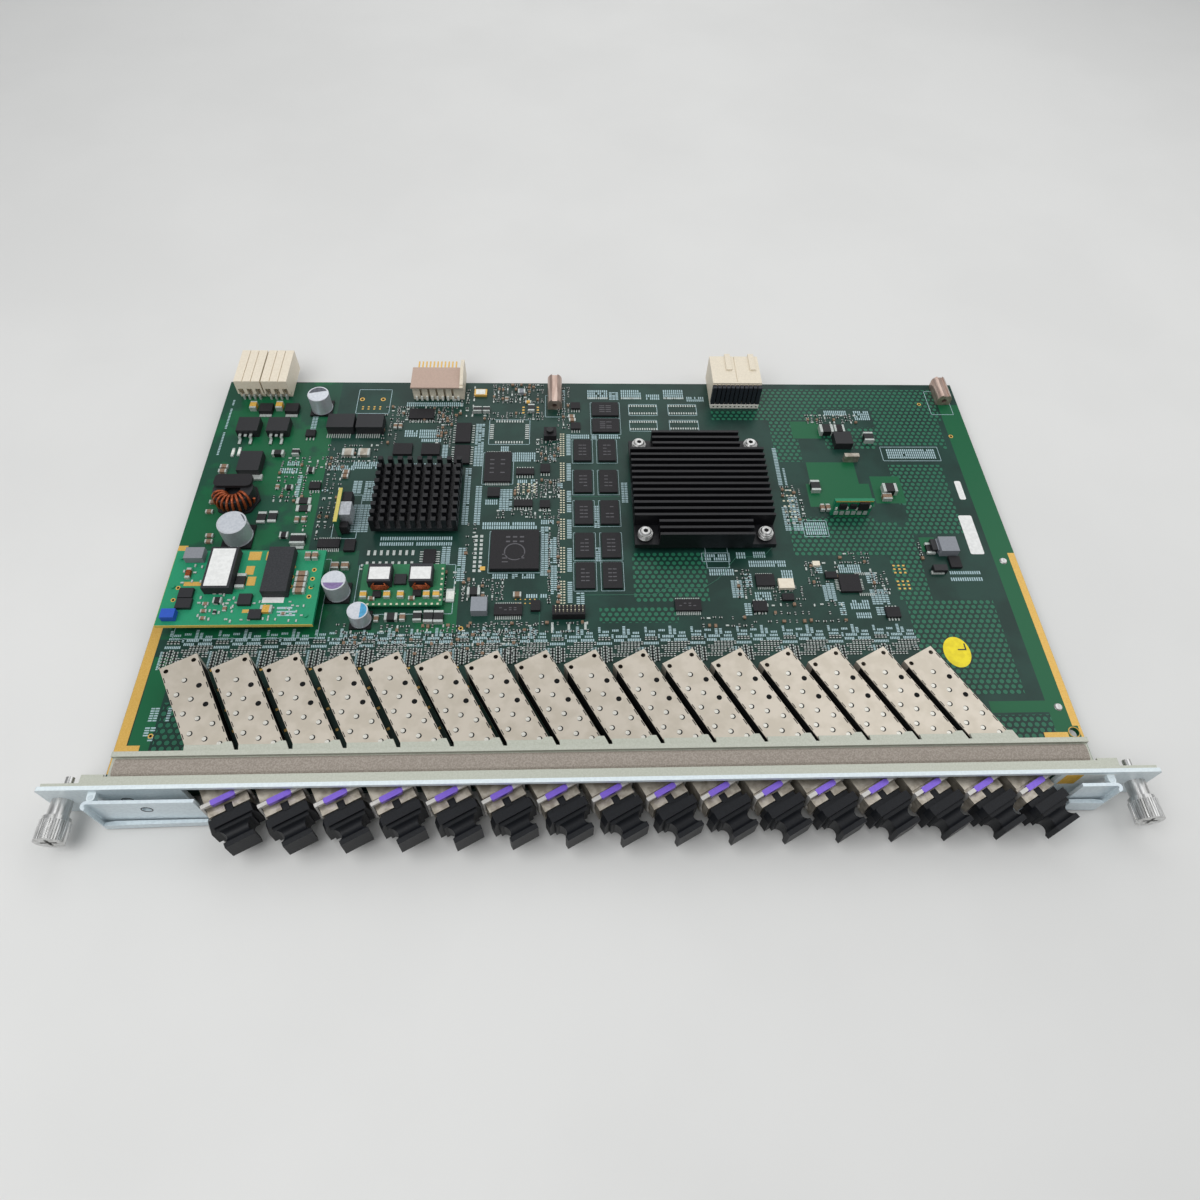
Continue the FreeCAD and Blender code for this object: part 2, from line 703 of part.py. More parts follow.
def lever(label, side, inner, hem_height):
    low = S.lever_bottom
    curl_end = S.lever_pivot_x - 2 * curl_r
    span = S.lever_curl_x - inner
    start = inner if side > 0 else -S.lever_curl_x
    curl_x = side * S.lever_curl_x
    parts = [box(label + "_back", start, back_y, low, span, S.lever_sheet, lever_h)]
    ring = cut(label + "_ring", rod(label + "_curl", curl_x, curl_y, low, curl_r, lever_h), [
        rod(label + "_curl_in", curl_x, curl_y, low - 1, curl_r - S.lever_sheet, lever_h + 2),
        box(label + "_curl_half", curl_x if side < 0 else curl_x - 2 * curl_r, hem_y - 1,
            low - 1, 2 * curl_r, 2 * curl_r + 2, lever_h + 2)])
    parts.append(ring)
    tip_x = side * inner
    hem_end = back_y - S.lever_hem_gap
    hem = pad(label + "_hem", "XY_Plane", [
        (curl_x, hem_y),
        (curl_x, hem_y + S.lever_sheet),
        (side * curl_end, hem_y + S.lever_sheet + 0.5),
        (tip_x, hem_end),
        (tip_x, hem_end - S.lever_sheet),
    ], low, hem_height)
    parts.append(hem)
    pin_x = side * S.lever_pivot_x
    parts.append(rod(label + "_pin", pin_x, -S.lever_pivot_y, S.lug_low,
                     S.lever_pin_radius, S.lug_high + S.lug_plate - S.lug_low))
    for level in (S.knuckle_low, S.knuckle_high):
        parts.append(box(label + "_knuckle", pin_x - S.lever_pin_radius, back_y, level,
                         2 * S.lever_pin_radius, -S.lever_pivot_y - back_y, S.knuckle_height))
    return parts


left_parts = lever("lever_l", -1, S.lever_inner_left, S.lever_hem_left)
lamp = rod("lever_lamp", S.lever_lamp_inset - S.lever_pivot_x, hem_y - 1, S.lever_lamp_z,
           S.lamp_radius, 6, "y")
node("lever_left", [cut("lever_l_cut", fuse("lever_l_joined", left_parts), [lamp])])

right_parts = lever("lever_r", 1, S.lever_inner_right, S.lever_hem_right)
plug_gap = box("plug_clearance", S.lever_inner_right - 1, hem_y - 2, S.lever_low_right,
               S.lever_full_from - S.lever_inner_right + 1, 2 * curl_r + 4, S.lever_top)
node("lever_right", [cut("lever_r_cut", fuse("lever_r_joined", right_parts), [plug_gap])])


def knurled_head(label):
    # a round head with flutes cut along it and repeated round its axis
    body = doc.addObject("PartDesign::Body", label)
    planes = {f.Role: f for f in body.Origin.OriginFeatures}
    disc = body.newObject("Sketcher::SketchObject", label + "_disc")
    disc.AttachmentSupport = [(planes["XZ_Plane"], "")]
    disc.MapMode = "FlatFace"
    disc.addGeometry(Part.Circle(Vector(0, 0, 0), Vector(0, 0, 1), number(S.head_radius)), False)
    disc.addConstraint(Sketcher.Constraint("Coincident", 0, 3, -1, 1))
    at = disc.addConstraint(Sketcher.Constraint("Radius", 0, number(S.head_radius)))
    disc.setExpression(f"Constraints[{at}]", S.head_radius.text)
    turned = body.newObject("PartDesign::Pad", label + "_turned")
    turned.Profile = disc
    drive(turned, "Length", S.head_length - S.shoulder_length)
    flute_sketch = outline(body, "XZ_Plane", [
        (S.head_radius - S.knurl_depth, 0),
        (S.head_radius + 0.5, S.knurl_width),
        (S.head_radius + 0.5, -S.knurl_width),
    ])
    flute = body.newObject("PartDesign::Pocket", label + "_flute")
    flute.Profile = flute_sketch
    flute.Reversed = True
    drive(flute, "Length", S.head_length - S.shoulder_length)
    row = body.newObject("PartDesign::PolarPattern", label + "_flutes")
    row.Originals = [flute]
    row.Axis = (planes["Y_Axis"], [""])
    row.Angle = 360
    row.Occurrences = SIZES["knurl_count"]
    row.setExpression("Occurrences", "sizes.knurl_count")
    body.Tip = row
    return body


# thumb screws: collar pressed in the plate, knurled head over it, retaining clip behind
collars = []
head_end = -S.collar_reach - S.head_rest_gap
head_front = head_end - S.head_length
clip_y = S.plate_thick + sheet_t + S.clip_gap
for side, name in ((-1, "left"), (1, "right")):
    x = side * S.screw_x
    z = S.screw_z
    tube = fuse("collar_body", [
        rod("collar_tube", x, -S.collar_reach, z, S.collar_radius, S.collar_reach, "y"),
        rod("collar_neck", x, -1, z, S.neck_radius, 1 + S.plate_thick + sheet_t, "y")])
    bore = rod("collar_bore", x, -S.collar_reach - 1, z, S.collar_bore, 20, "y")
    collars.append(cut("collar", tube, [bore]))
    knurled = place(knurled_head(f"knurl_{name}"), x, head_end - S.shoulder_length, z)
    shoulder = rod("head_shoulder", x, head_end - S.shoulder_length, z, S.shoulder_radius,
                   S.shoulder_length, "y")
    head = fuse("head", [knurled, shoulder])
    hollow = rod("head_hollow", x, head_end - S.head_bore_depth, z, S.head_bore,
                 S.head_bore_depth + 1, "y")
    slots = [box("recess_a", x - S.recess_span / 2, head_front - 1, z - S.recess_width / 2,
                 S.recess_span, S.recess_depth + 1, S.recess_width),
             box("recess_b", x - S.recess_width / 2, head_front - 1, z - S.recess_span / 2,
                 S.recess_width, S.recess_depth + 1, S.recess_span)]
    head_cut = cut("head_cut", head, [hollow] + slots)
    shank_y = head_end - S.head_bore_depth - 0.5
    shank = rod("shank", x, shank_y, z, S.shank_radius, S.shank_end - shank_y, "y")
    groove_tube = cut("groove_tube", rod("groove_out", x, clip_y - S.groove_play, z, 4,
                                         S.clip_thick + 2 * S.groove_play, "y"),
                      [rod("groove_in", x, 0, z, S.groove_radius, 9, "y")])
    node(f"thumb_screw_{name}", [cut("screw_cut", fuse("screw_joined", [head_cut, shank]),
                                     [groove_tube])])
    ring = cut("clip_ring", rod("clip_disc", x, clip_y, z, S.clip_radius, S.clip_thick, "y"),
               [rod("clip_eye", x, 0, z, S.groove_radius + S.groove_play, 9, "y")])
    node(f"screw_clip_{name}", [ring])
node("screw_collars", collars)

# finned heat sink on its chip
side = S.fin_sink_side
fin_z = TOP + S.fin_chip_height
fin_block = box("fin_block", S.fin_sink_x, S.fin_sink_y, fin_z, side, side,
                S.fin_sink_top - S.fin_chip_height)
fin_pitch = (side - S.fin_thick) / (S.fin_count - 1)
fin_tools = [box("fin_slot", S.fin_sink_x - 1, S.fin_sink_y + S.fin_thick + i * fin_pitch,
                 fin_z + S.fin_base, side + 2, fin_pitch - S.fin_thick, 20)
             for i in range(SIZES["fin_count"] - 1)]
screw_spots = []
for ax in (0, 1):
    for ay in (0, 1):
        notch_x = S.fin_sink_x - 1 if ax == 0 else S.fin_sink_x + side - S.fin_corner
        notch_y = S.fin_sink_y - 1 if ay == 0 else S.fin_sink_y + side - S.fin_corner
        fin_tools.append(box("fin_corner", notch_x, notch_y, fin_z + S.fin_base,
                             S.fin_corner + 1, S.fin_corner + 1, 20))
        spot_x = S.fin_sink_x + S.sink_screw_inset + ax * (side - 2 * S.sink_screw_inset)
        spot_y = S.fin_sink_y + S.sink_screw_inset + ay * (side - 2 * S.sink_screw_inset)
        screw_spots.append((spot_x, spot_y))
        fin_tools.append(rod("fin_hole", spot_x, spot_y, fin_z - 1,
                             S.sink_screw_radius + S.sink_screw_play, S.fin_base + 2))
node("plate_heatsink", [cut("fin_cut", fin_block, fin_tools)])
base_top = fin_z + S.fin_base
node("heatsink_screws", [
    fuse("sink_screw", [
        rod("sink_shaft", x, y, TOP, S.sink_screw_radius, base_top + S.sink_screw_rise - TOP),
        rod("sink_head", x, y, base_top, S.sink_screw_head, S.sink_screw_rise)])
    for x, y in screw_spots])

# pin heat sink on its chip
side = S.pin_sink_side
pin_z = TOP + S.pin_chip_height
pin_block = box("pin_block", S.pin_sink_x, S.pin_sink_y, pin_z, side, side,
                S.pin_sink_top - S.pin_chip_height)
pin_pitch = (side - S.pin_side) / (S.pin_count - 1)
pin_gap = pin_pitch - S.pin_side
pin_tools = []
for i in range(SIZES["pin_count"] - 1):
    step = S.pin_side + i * pin_pitch
    pin_tools.append(box("pin_slot_x", S.pin_sink_x + step, S.pin_sink_y - 1,
                         pin_z + S.pin_base, pin_gap, side + 2, 20))
    pin_tools.append(box("pin_slot_y", S.pin_sink_x - 1, S.pin_sink_y + step,
                         pin_z + S.pin_base, side + 2, pin_gap, 20))
node("pin_heatsink", [cut("pin_cut", pin_block, pin_tools)])

# power module: a small board on pins with two ferrite cores
bx, by = S.brick_x, S.brick_y
brick_z = TOP + S.brick_lift
brick_top = brick_z + S.brick_thick
brick = [box("brick_board", bx, by, brick_z, S.brick_width, S.brick_depth, S.brick_thick)]
for dx in (3.0, 58.4):
    for dy in (4.0, 18.4, 32.8):
        brick.append(rod("brick_pin", bx + dx, by + dy, TOP, S.brick_pin,
                         S.brick_lift + S.brick_thick + 0.6))
for dx, dy, lx, ly, height in ((5.0, 30.5, 7.6, 5.6, 3.4), (6.5, 12.4, 5.6, 4.6, 1.6),
                               (6.6, 7.4, 6.0, 4.6, 1.6), (30.6, 8.8, 5.2, 5.2, 1.6),
                               (36.0, 2.2, 5.0, 4.4, 1.4), (2.6, 2.0, 5.4, 4.2, 3.0)):
    brick.append(box("brick_chip", bx + dx, by + dy, brick_top - 0.1, lx, ly, height + 0.1))
brick.append(box("brick_under", bx + 12, by + 6, brick_z - 3.2, 38, 25, 3.4))
node("power_module", [fuse("brick_joined", brick)])
node("ferrite_cores", [
    box("core_a", bx + 16.0, by + 14.8, brick_top, 11.2, 20.6, S.core_height),
    box("core_b", bx + 39.6, by + 13.0, brick_top, 10.3, 22.4, S.core_height)])

# converter module: a little board carrying two coils
cx, cy = S.converter_x, S.converter_y
conv_z = TOP + S.converter_lift
conv_top = conv_z + S.converter_thick
converter = [box("converter_board", cx, cy, conv_z,
                 S.converter_width, S.converter_depth, S.converter_thick)]
for dx in (2.0, 32.4):
    for dy in (2.0, 19.0):
        converter.append(box("converter_foot", cx + dx - 0.8, cy + dy - 0.8, TOP,
                             1.6, 1.6, S.converter_lift + 0.1))
for dx in (3.4, 20.4):
    converter.append(box("converter_coil", cx + dx, cy + 9.0, conv_top - 0.1,
                         9.6, 9.0, S.coil_height + 0.1))
converter.append(box("converter_chip", cx + 13.8, cy + 10.0, conv_top - 0.1, 5.0, 5.0, 1.4))
node("converter_module", [fuse("converter_joined", converter)])

# power connectors: ribbed housings, set back at their foot where the tails come out
power_conns = []
for i in range(2):
    x = S.power_conn_x + i * S.power_conn_pitch - S.power_conn_width / 2
    third = S.power_conn_width / 3
    parts = [box("power_foot", x, S.power_conn_y + S.power_conn_step, TOP,
                 S.power_conn_width, S.power_conn_depth - S.power_conn_step, 4),
             box("power_shell", x, S.power_conn_y, TOP + 3.5,
                 S.power_conn_width, S.power_conn_depth, S.power_conn_height - 3.5)]
    cuts = [box("power_slot", x + k * third + third * 0.3,
                S.power_conn_y + S.power_conn_depth - 9, TOP + 1.5, third * 0.4, 10,
                S.power_conn_height - 3) for k in range(3)]
    cuts += [box("power_groove", x + k * third - 0.2, S.power_conn_y - 1,
                 TOP + S.power_conn_height - 0.5, 0.4, S.power_conn_depth + 2, 1)
             for k in (1, 2)]
    cuts += [box("power_tail_gap", x + k * third + 0.8, S.power_conn_y - 1, TOP + 1.2,
                 third - 1.6, S.power_conn_step + 2.5, 5.5) for k in range(3)]
    power_conns.append(cut("power_conn", fuse("power_body", parts), cuts))
node("power_connectors", power_conns)

# data connector: foot, a comb of contact wafers, and the hood over the rear edge
wafer_pitch = S.data_conn_width / S.wafer_count
hood_y = S.data_conn_y + S.wafer_depth
data_parts = [
    box("data_foot", S.data_conn_x, S.data_conn_y, TOP,
        S.data_conn_width, S.wafer_depth + 1, S.data_foot),
    box("data_wafers", S.data_conn_x, S.data_conn_y + 0.3, TOP + S.data_foot - 0.5,
        S.data_conn_width, S.wafer_depth + 1, S.data_conn_height - S.data_foot - 0.5),
    box("data_hood", S.data_conn_x, hood_y, TOP, S.data_conn_width,
        S.data_conn_depth - S.wafer_depth, S.data_conn_height)]
for along in (0.37, 0.86):
    data_parts.append(box("hood_rib", S.data_conn_x + along * S.data_conn_width - 1.4,
                          hood_y + 9, TOP + S.data_conn_height - 0.5,
                          2.8, S.data_conn_depth - S.wafer_depth - 8, 1.3))
data_cuts = [box("wafer_gap", S.data_conn_x + (i + 1) * wafer_pitch - 0.25,
                 S.data_conn_y - 1, TOP + S.data_foot, 0.5, S.wafer_depth + 1,
                 S.data_conn_height) for i in range(SIZES["wafer_count"] - 1)]
data_cuts.append(box("hood_seam", S.data_conn_x + S.data_conn_width / 2 - 0.2, hood_y + 1,
                     TOP + S.data_conn_height - 0.4, 0.4, S.data_conn_depth, 1))
node("data_connector", [cut("data_cut", fuse("data_body", data_parts), data_cuts)])

# signal connector: contact stack, top shell reaching past the board, and one side ear
ear_x = S.signal_conn_x + S.signal_conn_width - S.signal_ear
signal_parts = [
    box("signal_block", S.signal_conn_x, S.signal_conn_y + 1.5, TOP,
        S.signal_conn_width, S.signal_conn_depth - 1.5, S.signal_conn_height),
    box("signal_shell", S.signal_conn_x - 0.5, S.signal_conn_y,
        TOP + S.signal_conn_height - 0.8, S.signal_conn_width + 0.5, S.signal_conn_depth, 0.8)]
ear = pad("signal_ear", "YZ_Plane", [
    (S.signal_conn_y + 1.5, TOP),
    (S.signal_conn_y + S.signal_conn_depth + 4, TOP),
    (S.signal_conn_y + S.signal_conn_depth + 4, TOP + S.signal_conn_height + 1.5),
    (S.signal_conn_y + S.signal_conn_depth - 2, TOP + S.signal_conn_height + 3),
    (S.signal_conn_y + 1.5, TOP + S.signal_conn_height + 0.6),
], ear_x, S.signal_ear)
signal_room = box("signal_room", S.signal_conn_x + 2, S.signal_conn_y + 7, TOP + 2,
                  S.signal_conn_width - S.signal_ear - 3, S.signal_conn_depth,
                  S.signal_conn_height - 3.2)
signal_cuts = [signal_room]
tail_pitch = (S.signal_conn_width - S.signal_ear) / 6
signal_cuts += [box("signal_tail_gap", S.signal_conn_x + (i + 1) * tail_pitch - 0.5,
                    S.signal_conn_y, TOP - 1, 1.0, 3.5, S.signal_conn_height - 1)
                for i in range(5)]
node("signal_connector", [cut("signal_cut", fuse("signal_body", signal_parts + [ear]),
                              signal_cuts)])

# guide sockets: half-round blocks with a channel along the top and a bore from the front
guide_pins = []
for x, y, depth in ((S.guide_left_x, S.guide_left_y, S.guide_left_depth),
                    (S.guide_right_x, S.guide_right_y, S.guide_right_depth)):
    block = box("guide_block", x - S.guide_width / 2, y, TOP, S.guide_width, depth,
                S.guide_height - S.guide_width / 2)
    crown = rod("guide_crown", x, y, TOP + S.guide_height - S.guide_width / 2,
                S.guide_width / 2, depth, "y")
    channel = box("guide_channel", x - 1.3, y - 1, TOP + S.guide_height - 0.9, 2.6, depth + 2, 2)
    bore = rod("guide_bore", x, y - 1, TOP + 2.6, 1.2, depth + 2, "y")
    below = box("guide_below", x - 5, y - 1, TOP - 6, 10, depth + 2, 6)
    guide_pins.append(cut("guide_pin", fuse("guide_body", [block, crown]),
                          [channel, bore, below]))
node("guide_pins", guide_pins)

# electrolytic cans on their square feet
cans = []
for x, y, radius, height in ((LEFT + 48.15, 198.6, 5.0, 10.0), (LEFT + 24.55, 119.4, 6.2, 10.5),
                             (LEFT + 71.65, 89.4, 4.9, 10.0), (LEFT + 82.65, 76.0, 4.2, 8.0)):
    foot = box("can_foot", x - radius - 0.15, y - radius - 0.15, TOP,
               2 * radius + 0.3, 2 * radius + 0.3, 1.0)
    cans.append(fuse("can", [foot, rod("can_body", x, y, TOP + 0.9, radius, height - 0.9)]))
node("capacitor_cans", cans)


# chips and other small parts: centre x, centre y, width, depth, height
def parts_on_board(label, places):
    return [box(label, x - dx / 2, y - dy / 2, TOP, dx, dy, height)
            for x, y, dx, dy, height in places]


power_parts = parts_on_board("power_part", [
    (LEFT + 16.35, 184.2, 10.0, 9.0, 4.4), (LEFT + 30.35, 184.2, 10.0, 9.0, 4.4),
    (LEFT + 21.85, 160.7, 10.0, 12.0, 4.4), (LEFT + 59.55, 186.2, 12.6, 9.0, 4.8),
    (LEFT + 73.35, 186.2, 12.6, 9.0, 4.8), (-52.8, 81.4, 6.6, 7.0, 4.0),
    (RIGHT - 30.55, 111.4, 8.0, 8.0, 4.0), (RIGHT - 65.35, 176.2, 8.6, 8.0, 4.0),
    (RIGHT - 36.25, 112.1, 3.0, 6.0, 2.6), (RIGHT - 36.85, 99.5, 6.0, 3.2, 2.6),
])
choke_x = LEFT + 19.75
choke = rod("choke_core", choke_x, 140.4, TOP, 8.6, 8.0)
power_parts.append(cut("choke", choke, [rod("choke_eye", choke_x, 140.4, TOP + 5, 3.4, 4)]))
for label, x, y, dx, dy in (("upright_left", -116.6, 120.2, 1.6, 19.0),
                            ("upright_right", 104.0, 131.0, 18.0, 1.6)):
    power_parts.append(box(label, x, y, TOP, dx, dy, 10.0))
node("power_parts", power_parts)

fin_mid = S.fin_sink_x + S.fin_sink_side / 2
fin_mid_y = S.fin_sink_y + S.fin_sink_side / 2
pin_mid = S.pin_sink_x + S.pin_sink_side / 2
pin_mid_y = S.pin_sink_y + S.pin_sink_side / 2
sx, sy = S.switch_x, S.switch_y
switch_base = box("switch_base", sx - S.switch_side / 2, sy - S.switch_side / 2, TOP,
                  S.switch_side, S.switch_side, S.switch_height)
button_z = TOP + S.switch_height + S.button_rise - S.button_length
switch_bore = rod("switch_bore", sx, sy, button_z - S.button_travel - 0.35,
                  S.button_radius + S.button_play, S.button_length + 2)
logic = parts_on_board("logic_chip", [
    (fin_mid, fin_mid_y, S.fin_chip_side, S.fin_chip_side, S.fin_chip_height),
    (pin_mid, pin_mid_y, S.pin_chip_side, S.pin_chip_side, S.pin_chip_height),
    (-39.0, 110.9, 21.0, 21.0, 2.2), (-48.3, 159.8, 12.3, 18.4, 1.4),
    (68.7, 94.4, 8.0, 6.0, 1.4), (RIGHT - 77.95, 92.6, 9.0, 9.0, 1.4), (64.7, 81.1, 6.0, 5.0, 1.4),
    (RIGHT - 62.55, 77.6, 6.0, 5.0, 1.4), (RIGHT - 28.75, 103.5, 5.0, 6.0, 1.4),
    (-40.9, 80.4, 11.6, 5.4, 1.4),
    (34.3, 81.9, 11.0, 5.6, 1.4), (-86.6, 194.6, 12.0, 6.6, 1.4), (-65.7, 181.9, 7.2, 12.6, 1.4),
    (-65.4, 167.8, 7.2, 11.6, 1.4), (-93.5, 171.1, 8.8, 7.0, 1.4), (-80.4, 171.1, 8.6, 7.0, 1.4),
    (77.3, 85.6, 5.0, 3.2, 1.4), (97.9, 96.9, 5.0, 3.2, 1.4), (-15.8, 78.2, 13.6, 4.6, 4.0),
])
logic.append(cut("switch_shell", switch_base, [switch_bore]))
node("logic_chips", logic)

memory = [(3.1, 198.4, 13.0, 9.2, 1.2), (3.1, 187.2, 13.0, 9.2, 1.2)]
for y in (170.6, 151.0, 132.4, 113.7, 97.6):
    for x in (-8.6, 3.1):
        memory.append((x, y, 8.2, 13.6, 1.2))
node("memory_chips", parts_on_board("memory_chip", memory))

node("reset_button", [rod("button", sx, sy, button_z, S.button_radius, S.button_length)])

doc.recompute()
for obj in doc.Objects:
    if "Invalid" in obj.State or "Error" in obj.State:
        raise RuntimeError(f"{obj.Label} did not rebuild: {obj.State}")
os.makedirs("parts", exist_ok=True)
for held in nodes:
    if held.Shape.isNull() or not held.Shape.isValid():
        raise RuntimeError(f"{held.Label} has no valid shape")
    held.Shape.exportStep(f"parts/{held.Label}.step")
    size = held.Shape.BoundBox
    print(f"{held.Label}: {len(held.Shape.Solids)} solids, volume {held.Shape.Volume:.1f}, "
          f"x {size.XMin:.2f} {size.XMax:.2f}, y {size.YMin:.2f} {size.YMax:.2f}, "
          f"z {size.ZMin:.2f} {size.ZMax:.2f}")
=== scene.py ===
import bpy
import bmesh
import math
from mathutils import Matrix, Vector


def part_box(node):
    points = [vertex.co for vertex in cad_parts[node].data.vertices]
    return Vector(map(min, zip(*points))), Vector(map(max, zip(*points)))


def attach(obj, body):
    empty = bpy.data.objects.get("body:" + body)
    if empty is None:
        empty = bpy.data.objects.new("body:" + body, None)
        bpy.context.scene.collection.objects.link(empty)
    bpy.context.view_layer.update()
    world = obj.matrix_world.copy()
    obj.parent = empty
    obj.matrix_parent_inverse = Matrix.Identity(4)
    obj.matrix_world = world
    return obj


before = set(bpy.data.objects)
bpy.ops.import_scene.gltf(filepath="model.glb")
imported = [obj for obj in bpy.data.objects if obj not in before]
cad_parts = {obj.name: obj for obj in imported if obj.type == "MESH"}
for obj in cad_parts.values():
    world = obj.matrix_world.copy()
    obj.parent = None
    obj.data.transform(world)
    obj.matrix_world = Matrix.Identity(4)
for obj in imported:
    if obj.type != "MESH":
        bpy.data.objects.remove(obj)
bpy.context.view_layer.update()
print("frame loaded")

# lengths below are millimetres: x from the board's middle, y back from the plate's face, z up
# from the board's top; place() turns them into the frame's metres
mm = 0.001
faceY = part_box("face_plate")[1].y - 1.5 * mm
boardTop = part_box("main_board")[1].z
portCount = 16
portPitch = 19.095
portSlant = math.radians(28.47)
portCorner = (-170.66, 49.2)


def place(x, y, z):
    return Vector((x * mm, faceY + y * mm, boardTop + z * mm))


def colour(code):  # a web colour as linear values
    parts = [int(code[i:i + 2], 16) / 255 for i in (1, 3, 5)]
    return tuple(p / 12.92 if p <= 0.04045 else ((p + 0.055) / 1.055) ** 2.4 for p in parts) + (1.0,)


# finishes
finishes = {}


def startFinish(name, base, roughness, metallic, shine):
    mat = bpy.data.materials.new(name)
    mat.use_nodes = True
    tree = mat.node_tree
    shader = tree.nodes["Principled BSDF"]
    shader.inputs["Base Color"].default_value = colour(base)
    shader.inputs["Roughness"].default_value = roughness
    shader.inputs["Metallic"].default_value = metallic
    shader.inputs["Specular IOR Level"].default_value = shine
    finishes[name] = mat
    return tree, shader, tree.nodes.new("ShaderNodeTexCoord").outputs["Object"]


def blend(tree, under, over, factor):  # under and over are web colours or sockets
    mix = tree.nodes.new("ShaderNodeMix")
    mix.data_type = "RGBA"
    for name, value in (("A", under), ("B", over)):
        if isinstance(value, str):
            mix.inputs[name].default_value = colour(value)
        else:
            tree.links.new(value, mix.inputs[name])
    tree.links.new(factor, mix.inputs["Factor"])
    return mix.outputs["Result"]


def cloud(tree, coords, scale, stretch=(1, 1, 1), low=0.4, high=0.6):  # soft noise from 0 to 1
    mapping = tree.nodes.new("ShaderNodeMapping")
    mapping.inputs["Scale"].default_value = stretch
    noise = tree.nodes.new("ShaderNodeTexNoise")
    noise.inputs["Scale"].default_value = scale
    noise.inputs["Detail"].default_value = 4
    span = tree.nodes.new("ShaderNodeMapRange")
    span.inputs["From Min"].default_value = low
    span.inputs["From Max"].default_value = high
    tree.links.new(coords, mapping.inputs["Vector"])
    tree.links.new(mapping.outputs["Vector"], noise.inputs["Vector"])
    tree.links.new(noise.outputs["Fac"], span.inputs["Value"])
    return span.outputs["Result"]


def addBump(tree, shader, height, strength):
    lift = tree.nodes.new("ShaderNodeBump")
    lift.inputs["Strength"].default_value = strength
    lift.inputs["Distance"].default_value = 0.0002
    tree.links.new(height, lift.inputs["Height"])
    tree.links.new(lift.outputs["Normal"], shader.inputs["Normal"])


def grain(name, base, other, scale=900, roughness=0.5, metallic=0.0, shine=0.5,
          stretch=(1, 1, 1), bump=0.0):
    tree, shader, coords = startFinish(name, base, roughness, metallic, shine)
    noise = cloud(tree, coords, scale, stretch)
    tree.links.new(blend(tree, base, other, noise), shader.inputs["Base Color"])
    if bump:
        addBump(tree, shader, noise, bump)


grain("goldPlate", "#ddb45f", "#d4a850", 2500, 0.35, 0.3)
grain("padCream", "#d8d4bd", "#c6c1a8", 2500, 0.45, 0.2)
grain("traceGreen", "#37705d", "#326954", 2500, 0.5)
grain("solderPad", "#c4cac6", "#aab2ae", 2500, 0.4, 0.3)
grain("silkInk", "#b0c9ce", "#95afb5", 2500, 0.7)
grain("packageBlack", "#1f1d20", "#19181b", 2500, 0.6, shine=0.35, bump=0.15)
grain("packageMark", "#5c5b5f", "#4f4e52", 2500, 0.7)
grain("capBrown", "#8a705a", "#775f4b", 1500, 0.6)
grain("tantalum", "#d6a94a", "#c4973b", 1500, 0.5)
grain("resistorBlack", "#17181a", "#101113", 1500, 0.5)
grain("whitePlastic", "#e3e5df", "#d6d8d1", 900, 0.5)
grain("creamPlastic", "#e6dcc9", "#e1d6c2", 900, 0.45)
grain("labelWhite", "#e6e7e5", "#dcdddb", 700, 0.6)
grain("stickerYellow", "#eedb10", "#e2cd08", 500, 0.45)
grain("labelOrange", "#e6b84a", "#d9a93a", 900, 0.6)
grain("labelInk", "#33363a", "#24272b", 2000, 0.7)
grain("copperWire", "#a9542b", "#7e3a1c", 1500, 0.35, 0.5)
grain("canInk", "#5c6068", "#4c5058", 900, 0.5)
grain("canPurple", "#84729f", "#76648f", 900, 0.5)
grain("canBlue", "#4a9dc6", "#3f8db4", 900, 0.5)
# black for holes and slots; on the cage side walls the same black is painted shade
grain("holeAndShadeBlack", "#0b0c0d", "#141516", 900, 0.8, shine=0.2)
grain("holeGlint", "#e3e2da", "#d0cdc3", 2500, 0.3, 0.4)
grain("heatBlack", "#0e0e11", "#15151a", 1500, 0.42, 0.2, bump=0.1)
grain("plugRubber", "#0c0e12", "#12151a", 1800, 0.45, shine=0.25, bump=0.1)
grain("cageSteel", "#cdc4b6", "#c3baab", 160, 0.36, 0.5)
grain("moduleSteel", "#b9b2a5", "#978f82", 350, 0.35, 0.6)
grain("railSheet", "#bcbfb3", "#b4b7aa", 1500, 0.45, 0.3, bump=0.05)
grain("gasketCloth", "#a39a90", "#8f867c", 1800, 0.75, 0.1, bump=0.5)
grain("plateCoat", "#dde8eb", "#d5e0e4", 900, 0.4, bump=0.05)
grain("leverCoat", "#d3dfe4", "#cad6dc", 900, 0.3, 0.2, bump=0.05)
grain("brushedSteel", "#d4d4d3", "#b4b4b2", 900, 0.28, 0.85, stretch=(1, 0.2, 1))
grain("warmSteel", "#c8b2a6", "#b29a8e", 600, 0.3, 0.7, stretch=(1, 0.15, 1))
grain("coilGrey", "#8a8f96", "#787c83", 900, 0.6)
grain("coilSilver", "#b9bdc2", "#a2a6ab", 900, 0.4, 0.4)
grain("canShell", "#d8dce2", "#ccd1d8", 900, 0.3, 0.4)
grain("ferriteGrey", "#2b2d31", "#212327", 1500, 0.7, bump=0.2)


def feed(tree, inputs, values):  # gives each input its plain number or the socket it reads
    for socket, value in zip(inputs, values):
        if isinstance(value, (int, float)):
            socket.default_value = value
        else:
            tree.links.new(value, socket)


def compute(tree, kind, *values):  # one Math node over sockets and plain numbers
    node = tree.nodes.new("ShaderNodeMath")
    node.operation = kind
    feed(tree, node.inputs, values)
    return node.outputs[0]


